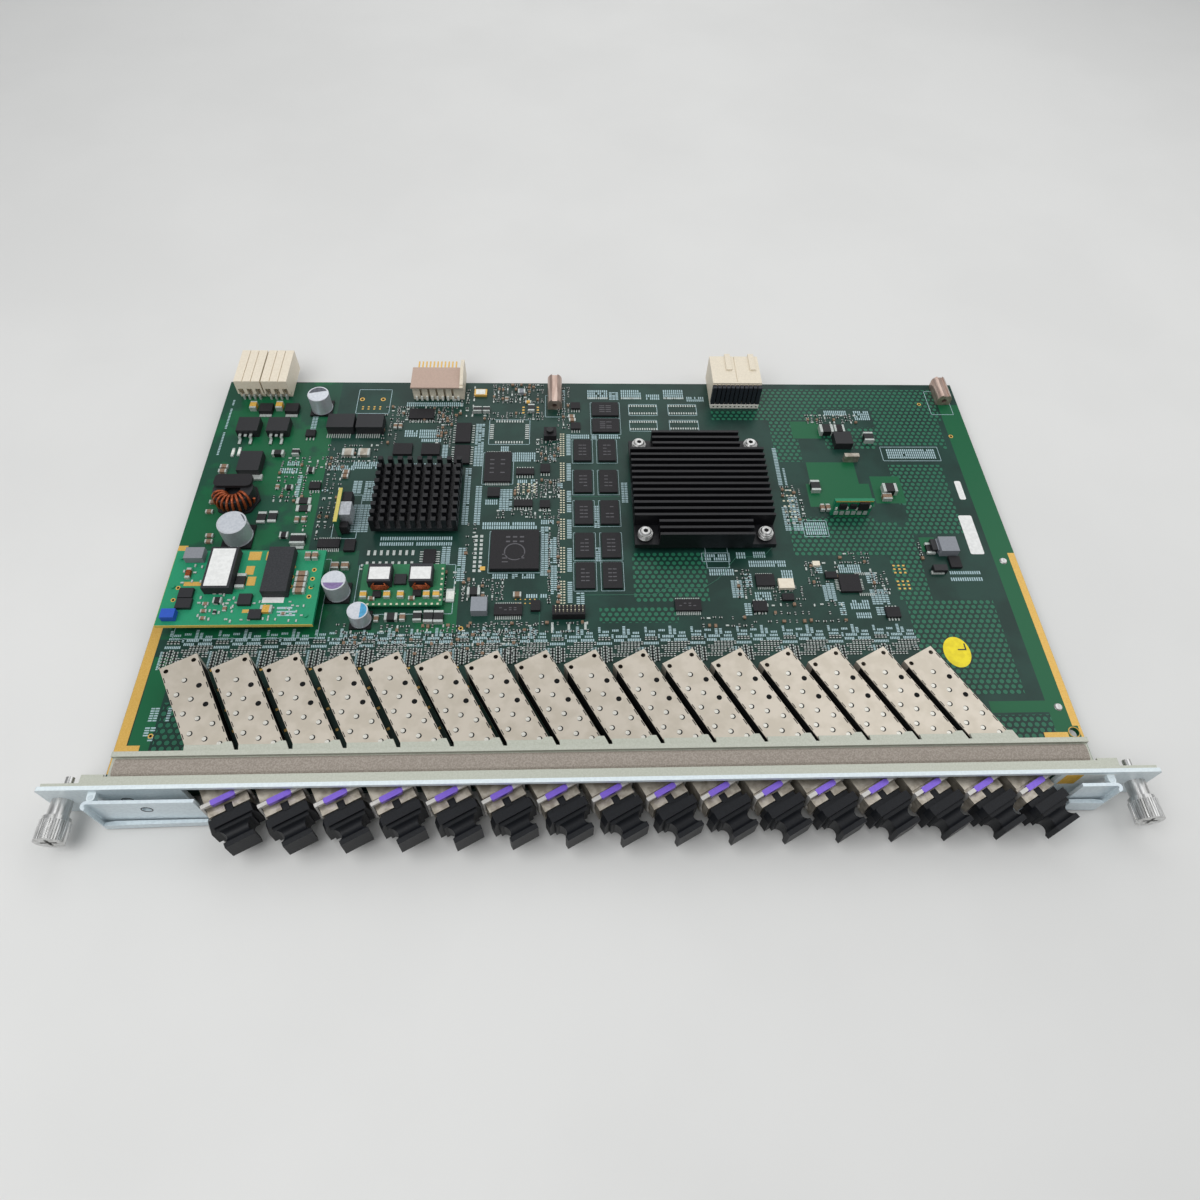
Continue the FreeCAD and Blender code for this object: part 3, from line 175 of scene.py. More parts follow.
def zoned(name, base, zones, roughness=0.5, metallic=0.0, corner=(0, 0), turn=0.0):
    # a base shade, then boxes of other shades: x0, y0, z0, x1, y1, z1 and a colour
    tree, shader, coords = startFinish(name, base, roughness, metallic, 0.45)
    nodes, links = tree.nodes, tree.links
    shifted = nodes.new("ShaderNodeVectorMath")
    shifted.operation = "SUBTRACT"
    shifted.inputs[1].default_value = place(*corner, 0)
    turned = nodes.new("ShaderNodeVectorRotate")
    turned.rotation_type = "Z_AXIS"
    turned.inputs["Angle"].default_value = -turn
    split = nodes.new("ShaderNodeSeparateXYZ")
    links.new(coords, shifted.inputs[0])
    links.new(shifted.outputs[0], turned.inputs["Vector"])
    links.new(turned.outputs[0], split.inputs["Vector"])
    result = base
    for zone in zones:
        inside = 1.0
        for axis, low, high in zip("XYZ", zone[:3], zone[3:6]):
            within = compute(tree, "COMPARE", split.outputs[axis], (low + high) / 2 * mm,
                             (high - low) / 2 * mm)
            inside = compute(tree, "MULTIPLY", within, inside)
        result = blend(tree, result, zone[6], inside)
    shade = nodes.new("ShaderNodeMapRange")
    shade.inputs["To Max"].default_value = 0.07
    links.new(cloud(tree, coords, 1200), shade.inputs["Value"])
    result = blend(tree, result, "#000000", shade.outputs["Result"])
    links.new(result, shader.inputs["Base Color"])


black = "#1e1f23"
zoned("dataPlastic", "#e4dac6", [
    (54, 198, 2.3, 82, 202.9, 13.6, "#23262e"), (54, 198, -1, 82, 203.1, 2.3, "#eceae0")])
zoned("signalPlastic", "#e2d8c4", [(-93, 203, 8.3, -68.4, 221, 9.6, "#b89f90")], 0.4, 0.1)
zoned("brickParts", "#128c63", [
    (-180, 69.4, 6.3, -117, 69.62, 8.1, "#d8bf5a"), (-179, 69, 6.3, -178.8, 107, 8.1, "#d8bf5a"),
    (-180, 69, 1, -117, 107, 6.3, "#1d2a26"), (-174.1, 99.8, 8.1, -166, 105.8, 14, "#83868c"),
    (-172.8, 76.5, 8.1, -165.8, 86.7, 14, black), (-148.6, 78, 8.1, -142.8, 83.8, 14, black),
    (-143.2, 71.4, 8.1, -137.6, 76.4, 14, black), (-176.6, 71.2, 8.1, -170.6, 75.9, 14, "#2352b8")])
zoned("converterParts", "#1c6e45", [
    (-99.3, 90, 3.05, -89.1, 99.8, 9, "#2a2b30"), (-82.3, 90, 3.05, -72.1, 99.8, 9, "#2a2b30"),
    (-89, 91, 3.05, -83, 97, 9, black)])
zoned("canParts", "#d5d9df", [(-200, 60, -1, 0, 215, 1.0, "#1a1a1c")], 0.3, 0.5)
zoned("powerParts", "#202124", [
    (-117.5, 120, 9.7, -114, 142, 12, "#c9bd62"), (-117.5, 120, -1, -114, 142, 9.7, "#27684a"),
    (103, 130, -1, 124, 134, 12, "#177e58"), (148, 107, -1, 157.2, 116, 6, "#858990"),
    (-56.3, 77.7, -1, -49.3, 85.1, 6, "#8a8f96")])
for i in range(portCount):
    zoned(f"bailWire{i + 1:02d}", "#c2c0bc", [(2.3, -70, 10.0, 10.7, -50, 13, "#7f63cf")], 0.33,
          0.4, (portCorner[0] + i * portPitch, portCorner[1]), portSlant)
print("finishes made")


def paintNode(name, finishName):
    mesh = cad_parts[name].data
    mesh.materials.clear()
    mesh.materials.append(finishes[finishName])


nodeFinishes = {
    "front_frame": "railSheet", "face_plate": "plateCoat", "shield_gasket": "gasketCloth",
    "port_cages": "cageSteel", "optical_modules": "moduleSteel", "plate_heatsink": "heatBlack",
    "pin_heatsink": "heatBlack", "heatsink_screws": "brushedSteel", "power_module": "brickParts",
    "ferrite_cores": "ferriteGrey", "converter_module": "converterParts",
    "power_connectors": "creamPlastic", "signal_connector": "signalPlastic",
    "data_connector": "dataPlastic", "guide_pins": "warmSteel", "capacitor_cans": "canParts",
    "power_parts": "powerParts", "logic_chips": "packageBlack", "memory_chips": "packageBlack",
    "reset_button": "resistorBlack", "lever_left": "leverCoat", "lever_right": "leverCoat",
    "thumb_screw_left": "brushedSteel", "thumb_screw_right": "brushedSteel",
    "screw_clip_left": "brushedSteel", "screw_clip_right": "brushedSteel",
    "screw_collars": "brushedSteel",
}
for nodeName, finishName in nodeFinishes.items():
    paintNode(nodeName, finishName)
for i in range(1, portCount + 1):
    paintNode(f"dust_plug_{i:02d}", "plugRubber")
    paintNode(f"bail_{i:02d}", f"bailWire{i:02d}")

# the bare board: green mask over copper fields, each area x0, y0, x1, y1
boardFields = {
    "dark": "#193d34", "deep": "#12312a", "bright": "#115c39", "dull": "#174836",
    "dot": "#27684f", "rim": "#0f2a24", "dotPitch": 2.75, "dotRadius": 0.95, "rimRadius": 1.25,
    "dotAreas": [(80, 192, 172, 214), (56, 192, 80, 199), (110, 172, 170, 192), (84, 164, 97, 196),
                 (138, 120, 164, 162), (84, 108, 134, 130), (126, 84, 140, 124), (128, 39, 166, 84),
                 (12, 84, 44, 110), (-3, 74, 30, 82), (-170, 12, -155, 40), (148, 14, 174, 30)],
    "plainAreas": [(110, 187, 137, 200), (135, 163, 168, 175), (124, 127, 140, 137)],
    "brightAreas": [(94.8, 179.4, 108.9, 191), (98.3, 149.3, 121.4, 163.6), (96, 136, 126, 150),
                    (106, 130, 120, 137), (127.3, 138, 141.4, 154.6), (173, 8, 183.4, 203),
                    (150, 31, 174, 36), (-178.9, 11, -171, 60), (142, 110, 149, 118)],
    "powerAreas": [(-183.4, 112, -128, 217), (-146, 196, -128, 222), (-179, 68, -106, 112),
                   (-108, 70, -62, 104)],
}


def boardFinish(p):
    tree, shader, coords = startFinish("boardMask", p["dark"], 0.34, 0.0, 0.3)
    nodes, links = tree.nodes, tree.links
    split = nodes.new("ShaderNodeSeparateXYZ")
    links.new(coords, split.inputs["Vector"])

    def sums(kind, a, b):
        return compute(tree, kind, a, b)

    def inside(areas):
        result = 0.0
        for x0, y0, x1, y1 in areas:
            middle, half = place((x0 + x1) / 2, (y0 + y1) / 2, 0), ((x1 - x0) / 2, (y1 - y0) / 2)
            area = 1.0
            for axis, spot, reach in (("X", middle.x, half[0]), ("Y", middle.y, half[1])):
                away = sums("ABSOLUTE", sums("SUBTRACT", split.outputs[axis], spot), 0)
                area = sums("MULTIPLY", sums("LESS_THAN", away, reach * mm), area)
            result = sums("MAXIMUM", area, result)
        return result

    result = blend(tree, p["dark"], p["deep"], cloud(tree, coords, 60))
    # copper dots in a honeycomb: two square grids, one set half a step over
    dots, rims = 0.0, 0.0
    for half in (0.0, 0.5):
        offsets = []
        for axis, step in (("X", p["dotPitch"] * mm), ("Y", p["dotPitch"] * mm * math.sqrt(3))):
            cell = sums("FRACT", sums("ADD", sums("DIVIDE", split.outputs[axis], step), half), 0)
            offsets.append(sums("MULTIPLY", sums("SUBTRACT", cell, 0.5), step))
        away = sums("ADD", sums("POWER", offsets[0], 2), sums("POWER", offsets[1], 2))
        dots = sums("MAXIMUM", sums("LESS_THAN", away, (p["dotRadius"] * mm) ** 2), dots)
        rims = sums("MAXIMUM", sums("LESS_THAN", away, (p["rimRadius"] * mm) ** 2), rims)
    dotted = sums("SUBTRACT", inside(p["dotAreas"]), inside(p["plainAreas"]))
    result = blend(tree, result, p["rim"], sums("MULTIPLY", rims, dotted))
    result = blend(tree, result, p["dot"], sums("MULTIPLY", dots, dotted))
    patches = blend(tree, p["bright"], p["dull"], cloud(tree, coords, 45, (1, 1, 1), 0.47, 0.53))
    result = blend(tree, result, patches, inside(p["powerAreas"]))
    result = blend(tree, result, p["bright"], inside(p["brightAreas"]))
    links.new(result, shader.inputs["Base Color"])


boardFinish(boardFields)
paintNode("main_board", "boardMask")
print("board finish made")


# mesh helpers
def addBlock(bm, x0, y0, z0, x1, y1, z1, matrix=None):
    low, high = place(x0, y0, z0), place(x1, y1, z1)
    if matrix is not None:
        low, high = Vector((x0, y0, z0)) * mm, Vector((x1, y1, z1)) * mm
    made = bmesh.ops.create_cube(bm, size=1.0)
    fit = Matrix.Translation((low + high) / 2) @ Matrix.Diagonal((*(high - low), 1.0))
    bmesh.ops.transform(bm, matrix=fit if matrix is None else matrix @ fit, verts=made["verts"])


def addRod(bm, x, y, z0, z1, radius, sides=24, top=None, flat=1.0, matrix=None):
    spot = place(x, y, (z0 + z1) / 2) if matrix is None else Vector((x, y, (z0 + z1) / 2)) * mm
    made = bmesh.ops.create_cone(bm, cap_ends=True, segments=sides, radius1=radius * mm,
                                 radius2=(radius if top is None else top) * mm,
                                 depth=(z1 - z0) * mm)
    fit = Matrix.Translation(spot) @ Matrix.Diagonal((1.0, flat, 1.0, 1.0))
    bmesh.ops.transform(bm, matrix=fit if matrix is None else matrix @ fit, verts=made["verts"])


def roundedPlate(bm, x0, y0, x1, y1, z0, z1, corner):
    # a thin plate with round corners
    outline = []
    for cx, cy, start in ((x1 - corner, y1 - corner, 0), (x0 + corner, y1 - corner, 90),
                          (x0 + corner, y0 + corner, 180), (x1 - corner, y0 + corner, 270)):
        for k in range(5):
            angle = math.radians(start + 22.5 * k)
            outline.append((cx + corner * math.cos(angle), cy + corner * math.sin(angle)))
    low = [bm.verts.new(place(x, y, z0)) for x, y in outline]
    high = [bm.verts.new(place(x, y, z1)) for x, y in outline]
    bm.faces.new(high)
    bm.faces.new(list(reversed(low)))
    for k in range(len(outline)):
        after = (k + 1) % len(outline)
        bm.faces.new((low[k], low[after], high[after], high[k]))


def addObject(name, data):
    made = bpy.data.objects.new(name, data)
    bpy.context.collection.objects.link(made)
    return made


def absorb(bm, holder):  # adds what the holder shows to bm; the holder goes
    graph = bpy.context.evaluated_depsgraph_get()
    made = bpy.data.meshes.new_from_object(holder.evaluated_get(graph))
    bpy.data.objects.remove(holder)
    bm.from_mesh(made)
    bpy.data.meshes.remove(made)


def addWire(bm, points, radius):  # a round wire along points in the frame's metres
    curve = bpy.data.curves.new("wire", "CURVE")
    curve.dimensions = "3D"
    curve.bevel_depth = radius * mm
    curve.bevel_resolution = 1
    curve.use_fill_caps = True
    spline = curve.splines.new("POLY")
    spline.points.add(len(points) - 1)
    for point, spot in zip(spline.points, points):
        point.co = (*spot, 1.0)
    absorb(bm, addObject("wire", curve))


def onCircle(radius, k, steps):  # the k-th of so many steps round a circle
    angle = 2 * math.pi * k / steps
    return radius * math.cos(angle), radius * math.sin(angle)


def finishPiece(bm, name, finishName, body="card"):
    mesh = bpy.data.meshes.new(name)
    bm.to_mesh(mesh)
    bm.free()
    mesh.materials.clear()
    mesh.materials.append(finishes[finishName])
    piece = addObject(name, mesh)
    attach(piece, body)


def shapes(adder, name, finishName, items, slot, **more):  # one piece of many blocks or rods
    bm = bmesh.new()
    for item in items:
        adder(bm, *item, **more)
    finishPiece(bm, name, finishName)


# fields of like small parts, spread by Geometry Nodes
def startTree(name, inputs):  # a tree with named inputs, and each input's identifier
    tree = bpy.data.node_groups.new(name, "GeometryNodeTree")
    sockets = {}
    for given, kind in inputs.items():
        made = tree.interface.new_socket(given, in_out="INPUT", socket_type="NodeSocket" + kind)
        sockets[given] = made.identifier
    tree.interface.new_socket("Geometry", in_out="OUTPUT", socket_type="NodeSocketGeometry")
    return tree, sockets, tree.nodes.new("NodeGroupInput").outputs


def endTree(tree, given, instances, move=None):  # real geometry, moved if asked, and its finish
    nodes, links = tree.nodes, tree.links
    real = nodes.new("GeometryNodeRealizeInstances")
    links.new(instances, real.inputs["Geometry"])
    shape = real.outputs["Geometry"]
    if move:
        moved = nodes.new("GeometryNodeTransform")
        links.new(shape, moved.inputs["Geometry"])
        links.new(move, moved.inputs["Translation"])
        shape = moved.outputs["Geometry"]
    dressed = nodes.new("GeometryNodeSetMaterial")
    links.new(shape, dressed.inputs["Geometry"])
    links.new(given["Finish"], dressed.inputs["Material"])
    links.new(dressed.outputs["Geometry"], nodes.new("NodeGroupOutput").inputs["Geometry"])


def makeSpreadTree():
    tree, sockets, given = startTree("partSpread", {
        "Width": "Float", "Depth": "Float", "Columns": "Int", "Rows": "Int", "Corner": "Vector",
        "Piece": "Vector", "Smallest": "Float", "Shift": "Float", "Keep": "Float",
        "Quarter Turns": "Int", "Seed": "Int", "Finish": "Material"})
    nodes, links = tree.nodes, tree.links

    def randomValue(kind, seedShift, firstInput, output, *limits):
        node = nodes.new("FunctionNodeRandomValue")
        node.data_type = kind
        links.new(compute(tree, "ADD", given["Seed"], seedShift), node.inputs["Seed"])
        feed(tree, node.inputs[firstInput:], limits)
        return node.outputs[output]

    def vector(*axes):
        node = nodes.new("ShaderNodeCombineXYZ")
        feed(tree, node.inputs, axes)
        return node.outputs[0]

    grid = nodes.new("GeometryNodeMeshGrid")
    for source, target in (("Width", "Size X"), ("Depth", "Size Y"), ("Columns", "Vertices X"),
                           ("Rows", "Vertices Y")):
        links.new(given[source], grid.inputs[target])
    back = compute(tree, "MULTIPLY", given["Shift"], -1)
    moved = nodes.new("GeometryNodeSetPosition")
    links.new(grid.outputs["Mesh"], moved.inputs["Geometry"])
    shove = randomValue("FLOAT_VECTOR", 1, 0, 0, vector(back, back),
                        vector(given["Shift"], given["Shift"]))
    links.new(shove, moved.inputs["Offset"])
    cube = nodes.new("GeometryNodeMeshCube")
    links.new(given["Piece"], cube.inputs["Size"])
    # the Random Value node keeps a pair of inputs and one output for each kind of value
    chosen = randomValue("BOOLEAN", 2, 6, 3, given["Keep"])
    quarter = randomValue("INT", 3, 4, 2, 0, given["Quarter Turns"])
    growth = randomValue("FLOAT", 4, 2, 1, given["Smallest"], 1.0)
    spread = nodes.new("GeometryNodeInstanceOnPoints")
    for target, source in (
            ("Points", moved.outputs["Geometry"]), ("Instance", cube.outputs["Mesh"]),
            ("Selection", chosen),
            ("Rotation", vector(0.0, 0.0, compute(tree, "MULTIPLY", quarter, math.pi / 2))),
            ("Scale", vector(growth, growth, 1.0))):
        links.new(source, spread.inputs[target])
    endTree(tree, given, spread.outputs["Instances"], given["Corner"])
    return tree, sockets


spreadTree, spreadSockets = makeSpreadTree()


def holderOf(tree, sockets, values):  # an object that shows what a tree makes of these values
    holder = addObject("holder", bpy.data.meshes.new("holder"))
    modifier = holder.modifiers.new("made", "NODES")
    modifier.node_group = tree
    for name, value in values.items():
        modifier[sockets[name]] = value
    return holder


def addField(bm, finishName, x0, y0, x1, y1, columns, rows, piece, z=0.0, smallest=1.0, shift=0.0,
             keep=1.0, turns=0, seed=1):
    # one field of like pieces, columns by rows, between two corners
    absorb(bm, holderOf(spreadTree, spreadSockets, {
        "Width": (x1 - x0) * mm, "Depth": (y1 - y0) * mm, "Columns": columns, "Rows": rows,
        "Corner": place((x0 + x1) / 2, (y0 + y1) / 2, z + piece[2] / 2),
        "Piece": Vector(piece) * mm, "Smallest": smallest, "Shift": shift * mm, "Keep": keep,
        "Quarter Turns": turns, "Seed": seed, "Finish": finishes[finishName]}))


def spreadPiece(name, finishName, fields):
    bm = bmesh.new()
    for number, given in enumerate(fields):
        addField(bm, finishName, seed=number + len(name), **given)
    finishPiece(bm, name, finishName)


def field(x0, y0, x1, y1, columns, rows, piece, **more):
    return dict(x0=x0, y0=y0, x1=x1, y1=y1, columns=columns, rows=rows, piece=piece, **more)


# what every port has, laid out once in the port's own frame and spread along the row
def makeRowTree():
    tree, sockets, given = startTree("portRow", {
        "Sample": "Object", "Count": "Int", "Pitch": "Float", "Finish": "Material"})
    nodes, links = tree.nodes, tree.links
    step = nodes.new("ShaderNodeCombineXYZ")
    line = nodes.new("GeometryNodeMeshLine")
    sample = nodes.new("GeometryNodeObjectInfo")
    spread = nodes.new("GeometryNodeInstanceOnPoints")
    links.new(given["Pitch"], step.inputs["X"])
    links.new(given["Count"], line.inputs["Count"])
    links.new(step.outputs[0], line.inputs["Offset"])
    links.new(given["Sample"], sample.inputs["Object"])
    links.new(line.outputs["Mesh"], spread.inputs["Points"])
    links.new(sample.outputs["Geometry"], spread.inputs["Instance"])
    endTree(tree, given, spread.outputs["Instances"])
    return tree, sockets


rowTree, rowSockets = makeRowTree()
# port frame: x across the cage, y back along it (so -y goes out of the face), z up
portFrame = Matrix.Translation(place(*portCorner, 0)) @ Matrix.Rotation(portSlant, 4, "Z")


def rowPiece(name, finishName, bm):
    sampleMesh = bpy.data.meshes.new("sample")
    bm.to_mesh(sampleMesh)
    bm.free()
    sample = addObject("sample", sampleMesh)
    whole = bmesh.new()
    absorb(whole, holderOf(rowTree, rowSockets, {
        "Sample": sample, "Count": portCount, "Pitch": portPitch * mm,
        "Finish": finishes[finishName]}))
    bpy.data.objects.remove(sample)
    finishPiece(whole, name, finishName)


cage = {
    "top": 9.8, "width": 14.1, "hole": 1.05, "sheetHoles": 5.5, "viaEvery": 9.9, "slotEvery": 5.2,
    # holes: x across the cage and distance back from its front
    "holes": [(x, s) for s in (5, 14.1, 23, 32, 41) for x in (2.8, 11.0)]
    + [(6.9, s) for s in (9.4, 18.4, 27.4, 36.6)],
    "darkHoles": [(11.0, 14.1), (11.0, 23), (2.8, 41), (2.8, 5), (11.0, 5)],
    "mark": 0.02, "glint": 0.04, "glintShare": 0.76, "glintShift": (-0.2, 0.16),
}


def cageDetails(p):
    rims, glints, slotsAndSideShade, vias = bmesh.new(), bmesh.new(), bmesh.new(), bmesh.new()
    top, width = p["top"], p["width"]
    for x, s in p["holes"]:
        if s > p["sheetHoles"]:  # the two rear holes are cut through the sheet already
            addRod(rims, x, -s, top, top + p["mark"], p["hole"], 16, matrix=portFrame)
        if (x, s) not in p["darkHoles"]:
            addRod(glints, x + p["glintShift"][0], p["glintShift"][1] - s, top, top + p["glint"],
                   p["hole"] * p["glintShare"], 16, matrix=portFrame)
    for k in range(9):  # openings along the folded edge
        s = 3.5 + k * p["slotEvery"]
        for x0, x1, start, end in ((width - 0.55, width - 0.2, 2.6, 0.0), (0.2, 0.5, 3.6, 1.2)):
            addBlock(slotsAndSideShade, x0, -s - start, top, x1, -s - end, top + p["mark"], portFrame)
    for x in (-p["mark"], width):  # a dark sheet over most of each side wall: painted shade for the deep shadow in the gaps between cages
        addBlock(slotsAndSideShade, x, -49.0, 0.6, x + p["mark"], -3.0, top - 0.5, portFrame)
    for k in range(4):
        s = 2.4 + k * p["viaEvery"]
        addBlock(vias, width + 0.7, -s - 1.1, 0.0, width + 1.8, -s, 0.03, portFrame)
    rowPiece("cageHoleRims", "holeAndShadeBlack", rims)
    rowPiece("cageHoleGlints", "holeGlint", glints)
    # the slots along the folded edge and the painted shade on the side walls
    rowPiece("cageSlots", "holeAndShadeBlack", slotsAndSideShade)
    rowPiece("groundPads", "goldPlate", vias)


cageDetails(cage)

portCluster = {
    # small parts behind a cage, in the board's directions from the cage's rear left corner
    "step": 1.35, "strokeStep": 0.7, "stroke": 0.45,
    "ladders": [(-5.4, 5.2, 6), (-3.2, 6.0, 6), (-1.2, 6.6, 5)],
    "rows": [(2.6, 10.6, 5), (1.4, 12.4, 8), (4.2, 14.2, 7), (0.8, 8.6, 5), (9.8, 10.4, 2),
             (-5.0, 16.4, 4)],
    "prints": [(-5.6, 14.4, 1.0, 15.6), (1.4, 15.8, 6.2, 17.0), (7.0, 16.0, 12.8, 17.2),
               (2.2, 17.6, 7.4, 18.8), (5.0, 19.2, 6.2, 24.0), (6.8, 19.2, 8.0, 22.4),
               (-6.6, 5.0, -5.8, 13.6), (8.6, 17.8, 12.4, 18.8), (10.8, 12.2, 12.6, 13.2),
               (9.2, 19.4, 12.4, 20.4), (0.8, 20.6, 4.2, 21.6), (-4.8, 18.4, -0.6, 19.4),
               (-5.0, 20.2, -4.0, 23.4), (-3.2, 20.0, -0.4, 21.0), (0.4, 17.4, 1.2, 19.8)],
}


def clusterDetails(p):
    ends, bodies, prints = bmesh.new(), bmesh.new(), bmesh.new()
    x0, y0 = portCorner

    def tiny(x, y, wide, deep, endX, endY):  # a body that leaves its two ends bare
        x, y = x0 + x, y0 + y
        addBlock(ends, x, y, 0.0, x + wide, y + deep, 0.42)
        addBlock(bodies, x + endX, y + endY, 0.0, x + wide - endX, y + deep - endY, 0.5)

    for x, y, count in p["ladders"]:
        for k in range(count):
            tiny(x, y + p["step"] * k, 1.7, 0.85, 0.45, 0.0)
    for x, y, count in p["rows"]:
        for k in range(count):
            tiny(x + p["step"] * k, y, 0.8, 1.35, 0.0, 0.4)
    step, stroke = p["strokeStep"], p["stroke"]
    for left, front, right, rear in p["prints"]:
        x, y, wide = x0 + left, y0 + front, right - left > rear - front
        for k in range(int((right - left if wide else rear - front) / step)):
            if wide:
                addBlock(prints, x + step * k, y, 0.0, x + step * k + stroke, y0 + rear, 0.03)
            else:
                addBlock(prints, x, y + step * k, 0.0, x0 + right, y + step * k + stroke, 0.03)
    rowPiece("clusterEnds", "solderPad", ends)
    rowPiece("clusterBodies", "resistorBlack", bodies)
    rowPiece("clusterPrint", "silkInk", prints)


clusterDetails(portCluster)
print("port row detailed")

# strips of pads with print beside them, along the memory chips: front, rear, number of pads
stripRows = [(84, 95, 9), (100, 113, 10), (118, 129, 9), (133, 146, 10), (152, 163, 9), (168, 182, 11)]

# print on the board: hatched blocks, frames and bare gold pads
boardPrint = {
    # x0, y0, x1, y1; a block taller than wide has upright strokes
    "hatched": [(-95, 200.8, -67, 203.8), (-87, 179.2, -76, 185), (-60, 161, -55.6, 189),
        (-63.4, 126, -60.4, 160), (-58, 126, -55, 149), (-47, 134, -41, 147), (-54, 123.4, -29.5, 127.6),
        (-28, 98, -24.4, 125), (-48.4, 96.6, -41.6, 99.2), (-40, 96.6, -37.4, 99.2),
        (-35.8, 96.6, -30.2, 99.2), (-98, 114.4, -66.5, 116.6), (-98, 117.4, -66.5, 119.6),
        (-63.6, 95.4, -60, 113.4), *[(-16.4, low, -14, high) for low, high, count in stripRows],
        (-4.1, 124, -1.4, 137),
        (-4.1, 105.4, -1.4, 113.2), (-4.1, 178.4, -1.4, 182), (-12.6, 82.2, -9, 89.4),
        (8.9, 138.6, 12, 151), (82.2, 122, 85, 136), (82.9, 149, 85.2, 173), (86.2, 149, 87.4, 160),
        (43.8, 105.6, 53.6, 109.2), (45, 97.6, 56, 101.2), (62.8, 102, 79.4, 105.6),
        (53.8, 86, 58.8, 95.2), (113, 195.2, 124.6, 198.8), (128, 192, 136, 198.6),
        (139, 166, 163, 172.4), (86, 122, 90.4, 142), (91.2, 119.6, 100.8, 127), (93.2, 84, 98.6, 93.4),
        (102.2, 98.6, 112, 103.2), (103.6, 79.8, 112, 84.6), (150.6, 93.8, 165, 96),
        (151, 97.4, 165, 99.4), (113.4, 82, 121.2, 90), (-115.8, 159.4, -103.4, 164),
        (-112, 122, -104, 138), (-108.6, 140, -104, 152), (-132, 145.8, -124.6, 146.8),
        (-5.6, 206.2, 4.8, 213), (11.3, 206.2, 21.8, 213.2), (32.8, 206.4, 43.2, 213.4),
        (24, 206, 31, 210), (-174.6, 24, -170.4, 30), (-174.4, 32, -171, 38), (-168, 32, -166.4, 38),
        (-104, 150, -102.4, 158), (-33, 150, -29.6, 153), (-25, 165, -21, 168),
        (-179.6, 168, -178.5, 183), (-179.6, 185, -178.5, 199), (-179.6, 201, -178.5, 205),
        (-42, 164, -30.8, 170), (-40, 150.4, -34.4, 152.8), (-53.4, 137.6, -47.6, 140.8),
        (-23.4, 88.4, -20.6, 103.6), (-24.2, 104.6, -20.8, 119), (-28, 126.2, -22, 128.8),
        (-14, 179, -5, 181.8), (-0.6, 179, 10, 181.8), (-94, 180, -87.6, 184.6),
        (-85.6, 176.6, -76, 178.8), (-75.2, 166.4, -72.4, 175), (-70.8, 104.6, -66.8, 114),
        (-33.8, 86.6, -24.8, 88.8), (5.4, 205.8, 10.2, 211.6), (44.4, 204.8, 53.4, 208.4),
        (57.8, 106.6, 62.2, 110.2), (65.4, 107, 71, 110.4), (63.4, 84.6, 70.6, 89),
        (76.4, 95.6, 81.6, 100.4), (60.2, 91.4, 63.4, 98.6), (58.2, 77, 61.2, 83.4),
        (-125.4, 158.6, -114.6, 161.6), (-114, 144.4, -109.8, 152.2), (-148.8, 156.6, -140.4, 160),
        (-146, 161.4, -140.4, 164.4), (-139.6, 142.2, -137.4, 155.6), (-139.2, 184.6, -136.4, 194),
        (113.4, 93, 118.2, 99), (98.6, 76.8, 101.4, 83.6), (105.2, 75.2, 111.8, 78.2),
        (92, 98.4, 95, 102.8), (114.2, 76.6, 117.8, 81), (-18, 204, -16.6, 213), (-90, 160.4, -74, 163),
        (-47.6, 170.6, -43.6, 174), (-20.6, 147.4, -18, 150.6)],
    "framed": [(14.8, 194.8, 29.2, 202.8), (34.5, 194.9, 49, 202.9), (14.8, 184, 28.6, 191.7),
        (34.5, 184.4, 49, 191.8), (-119.2, 195.7, -102.9, 212.7), (-53.6, 175, -33.8, 191.8),
        (-50.4, 99.5, -27.6, 122.3), (-55.6, 149.8, -41, 169.8), (-26.6, 193.6, -17, 209),
        (42.6, 105, 55, 109.9), (44.4, 101.6, 54.5, 117.0), (136.4, 164.5, 165, 173.8),
        (90.3, 118.6, 101.6, 128), (-174.5, 68, -117.2, 107.5), (-105, 79, -64, 104.4),
        (168, 196, 179.6, 213), (-119.5, 118.5, -108.6, 143.6)],
}


def strokes(x0, y0, x1, y1):  # short strokes in neat rows, as small print looks
    upright = y1 - y0 > x1 - x0
    along, across = (y1 - y0, x1 - x0) if upright else (x1 - x0, y1 - y0)
    long, rows = max(1, round(along / 1.0)), max(1, round(across / 1.7))
    step = along / long
    stroke = (across / rows * 0.84, step * 0.58) if upright else (step * 0.58, across / rows * 0.84)
    edge = (across / rows / 2, step / 2) if upright else (step / 2, across / rows / 2)
    columns, depth = (rows, long) if upright else (long, rows)
    return field(x0 + edge[0], y0 + edge[1], x1 - edge[0], y1 - edge[1], columns, depth,
                 (*stroke, 0.03), keep=0.97)


def framed(x0, y0, x1, y1, line=0.25):  # four thin lines round a rectangle
    return [(x0, y0, 0.0, x1, y0 + line, 0.03), (x0, y1 - line, 0.0, x1, y1, 0.03),
            (x0, y0, 0.0, x0 + line, y1, 0.03), (x1 - line, y0, 0.0, x1, y1, 0.03)]


memoryPlaces = [(3.1, 198.4, 13.0, 9.2), (3.1, 187.2, 13.0, 9.2)]
memoryPlaces += [(x, y, 8.2, 13.6) for y in (170.6, 151.0, 132.4, 113.7, 97.6) for x in (-8.6, 3.1)]


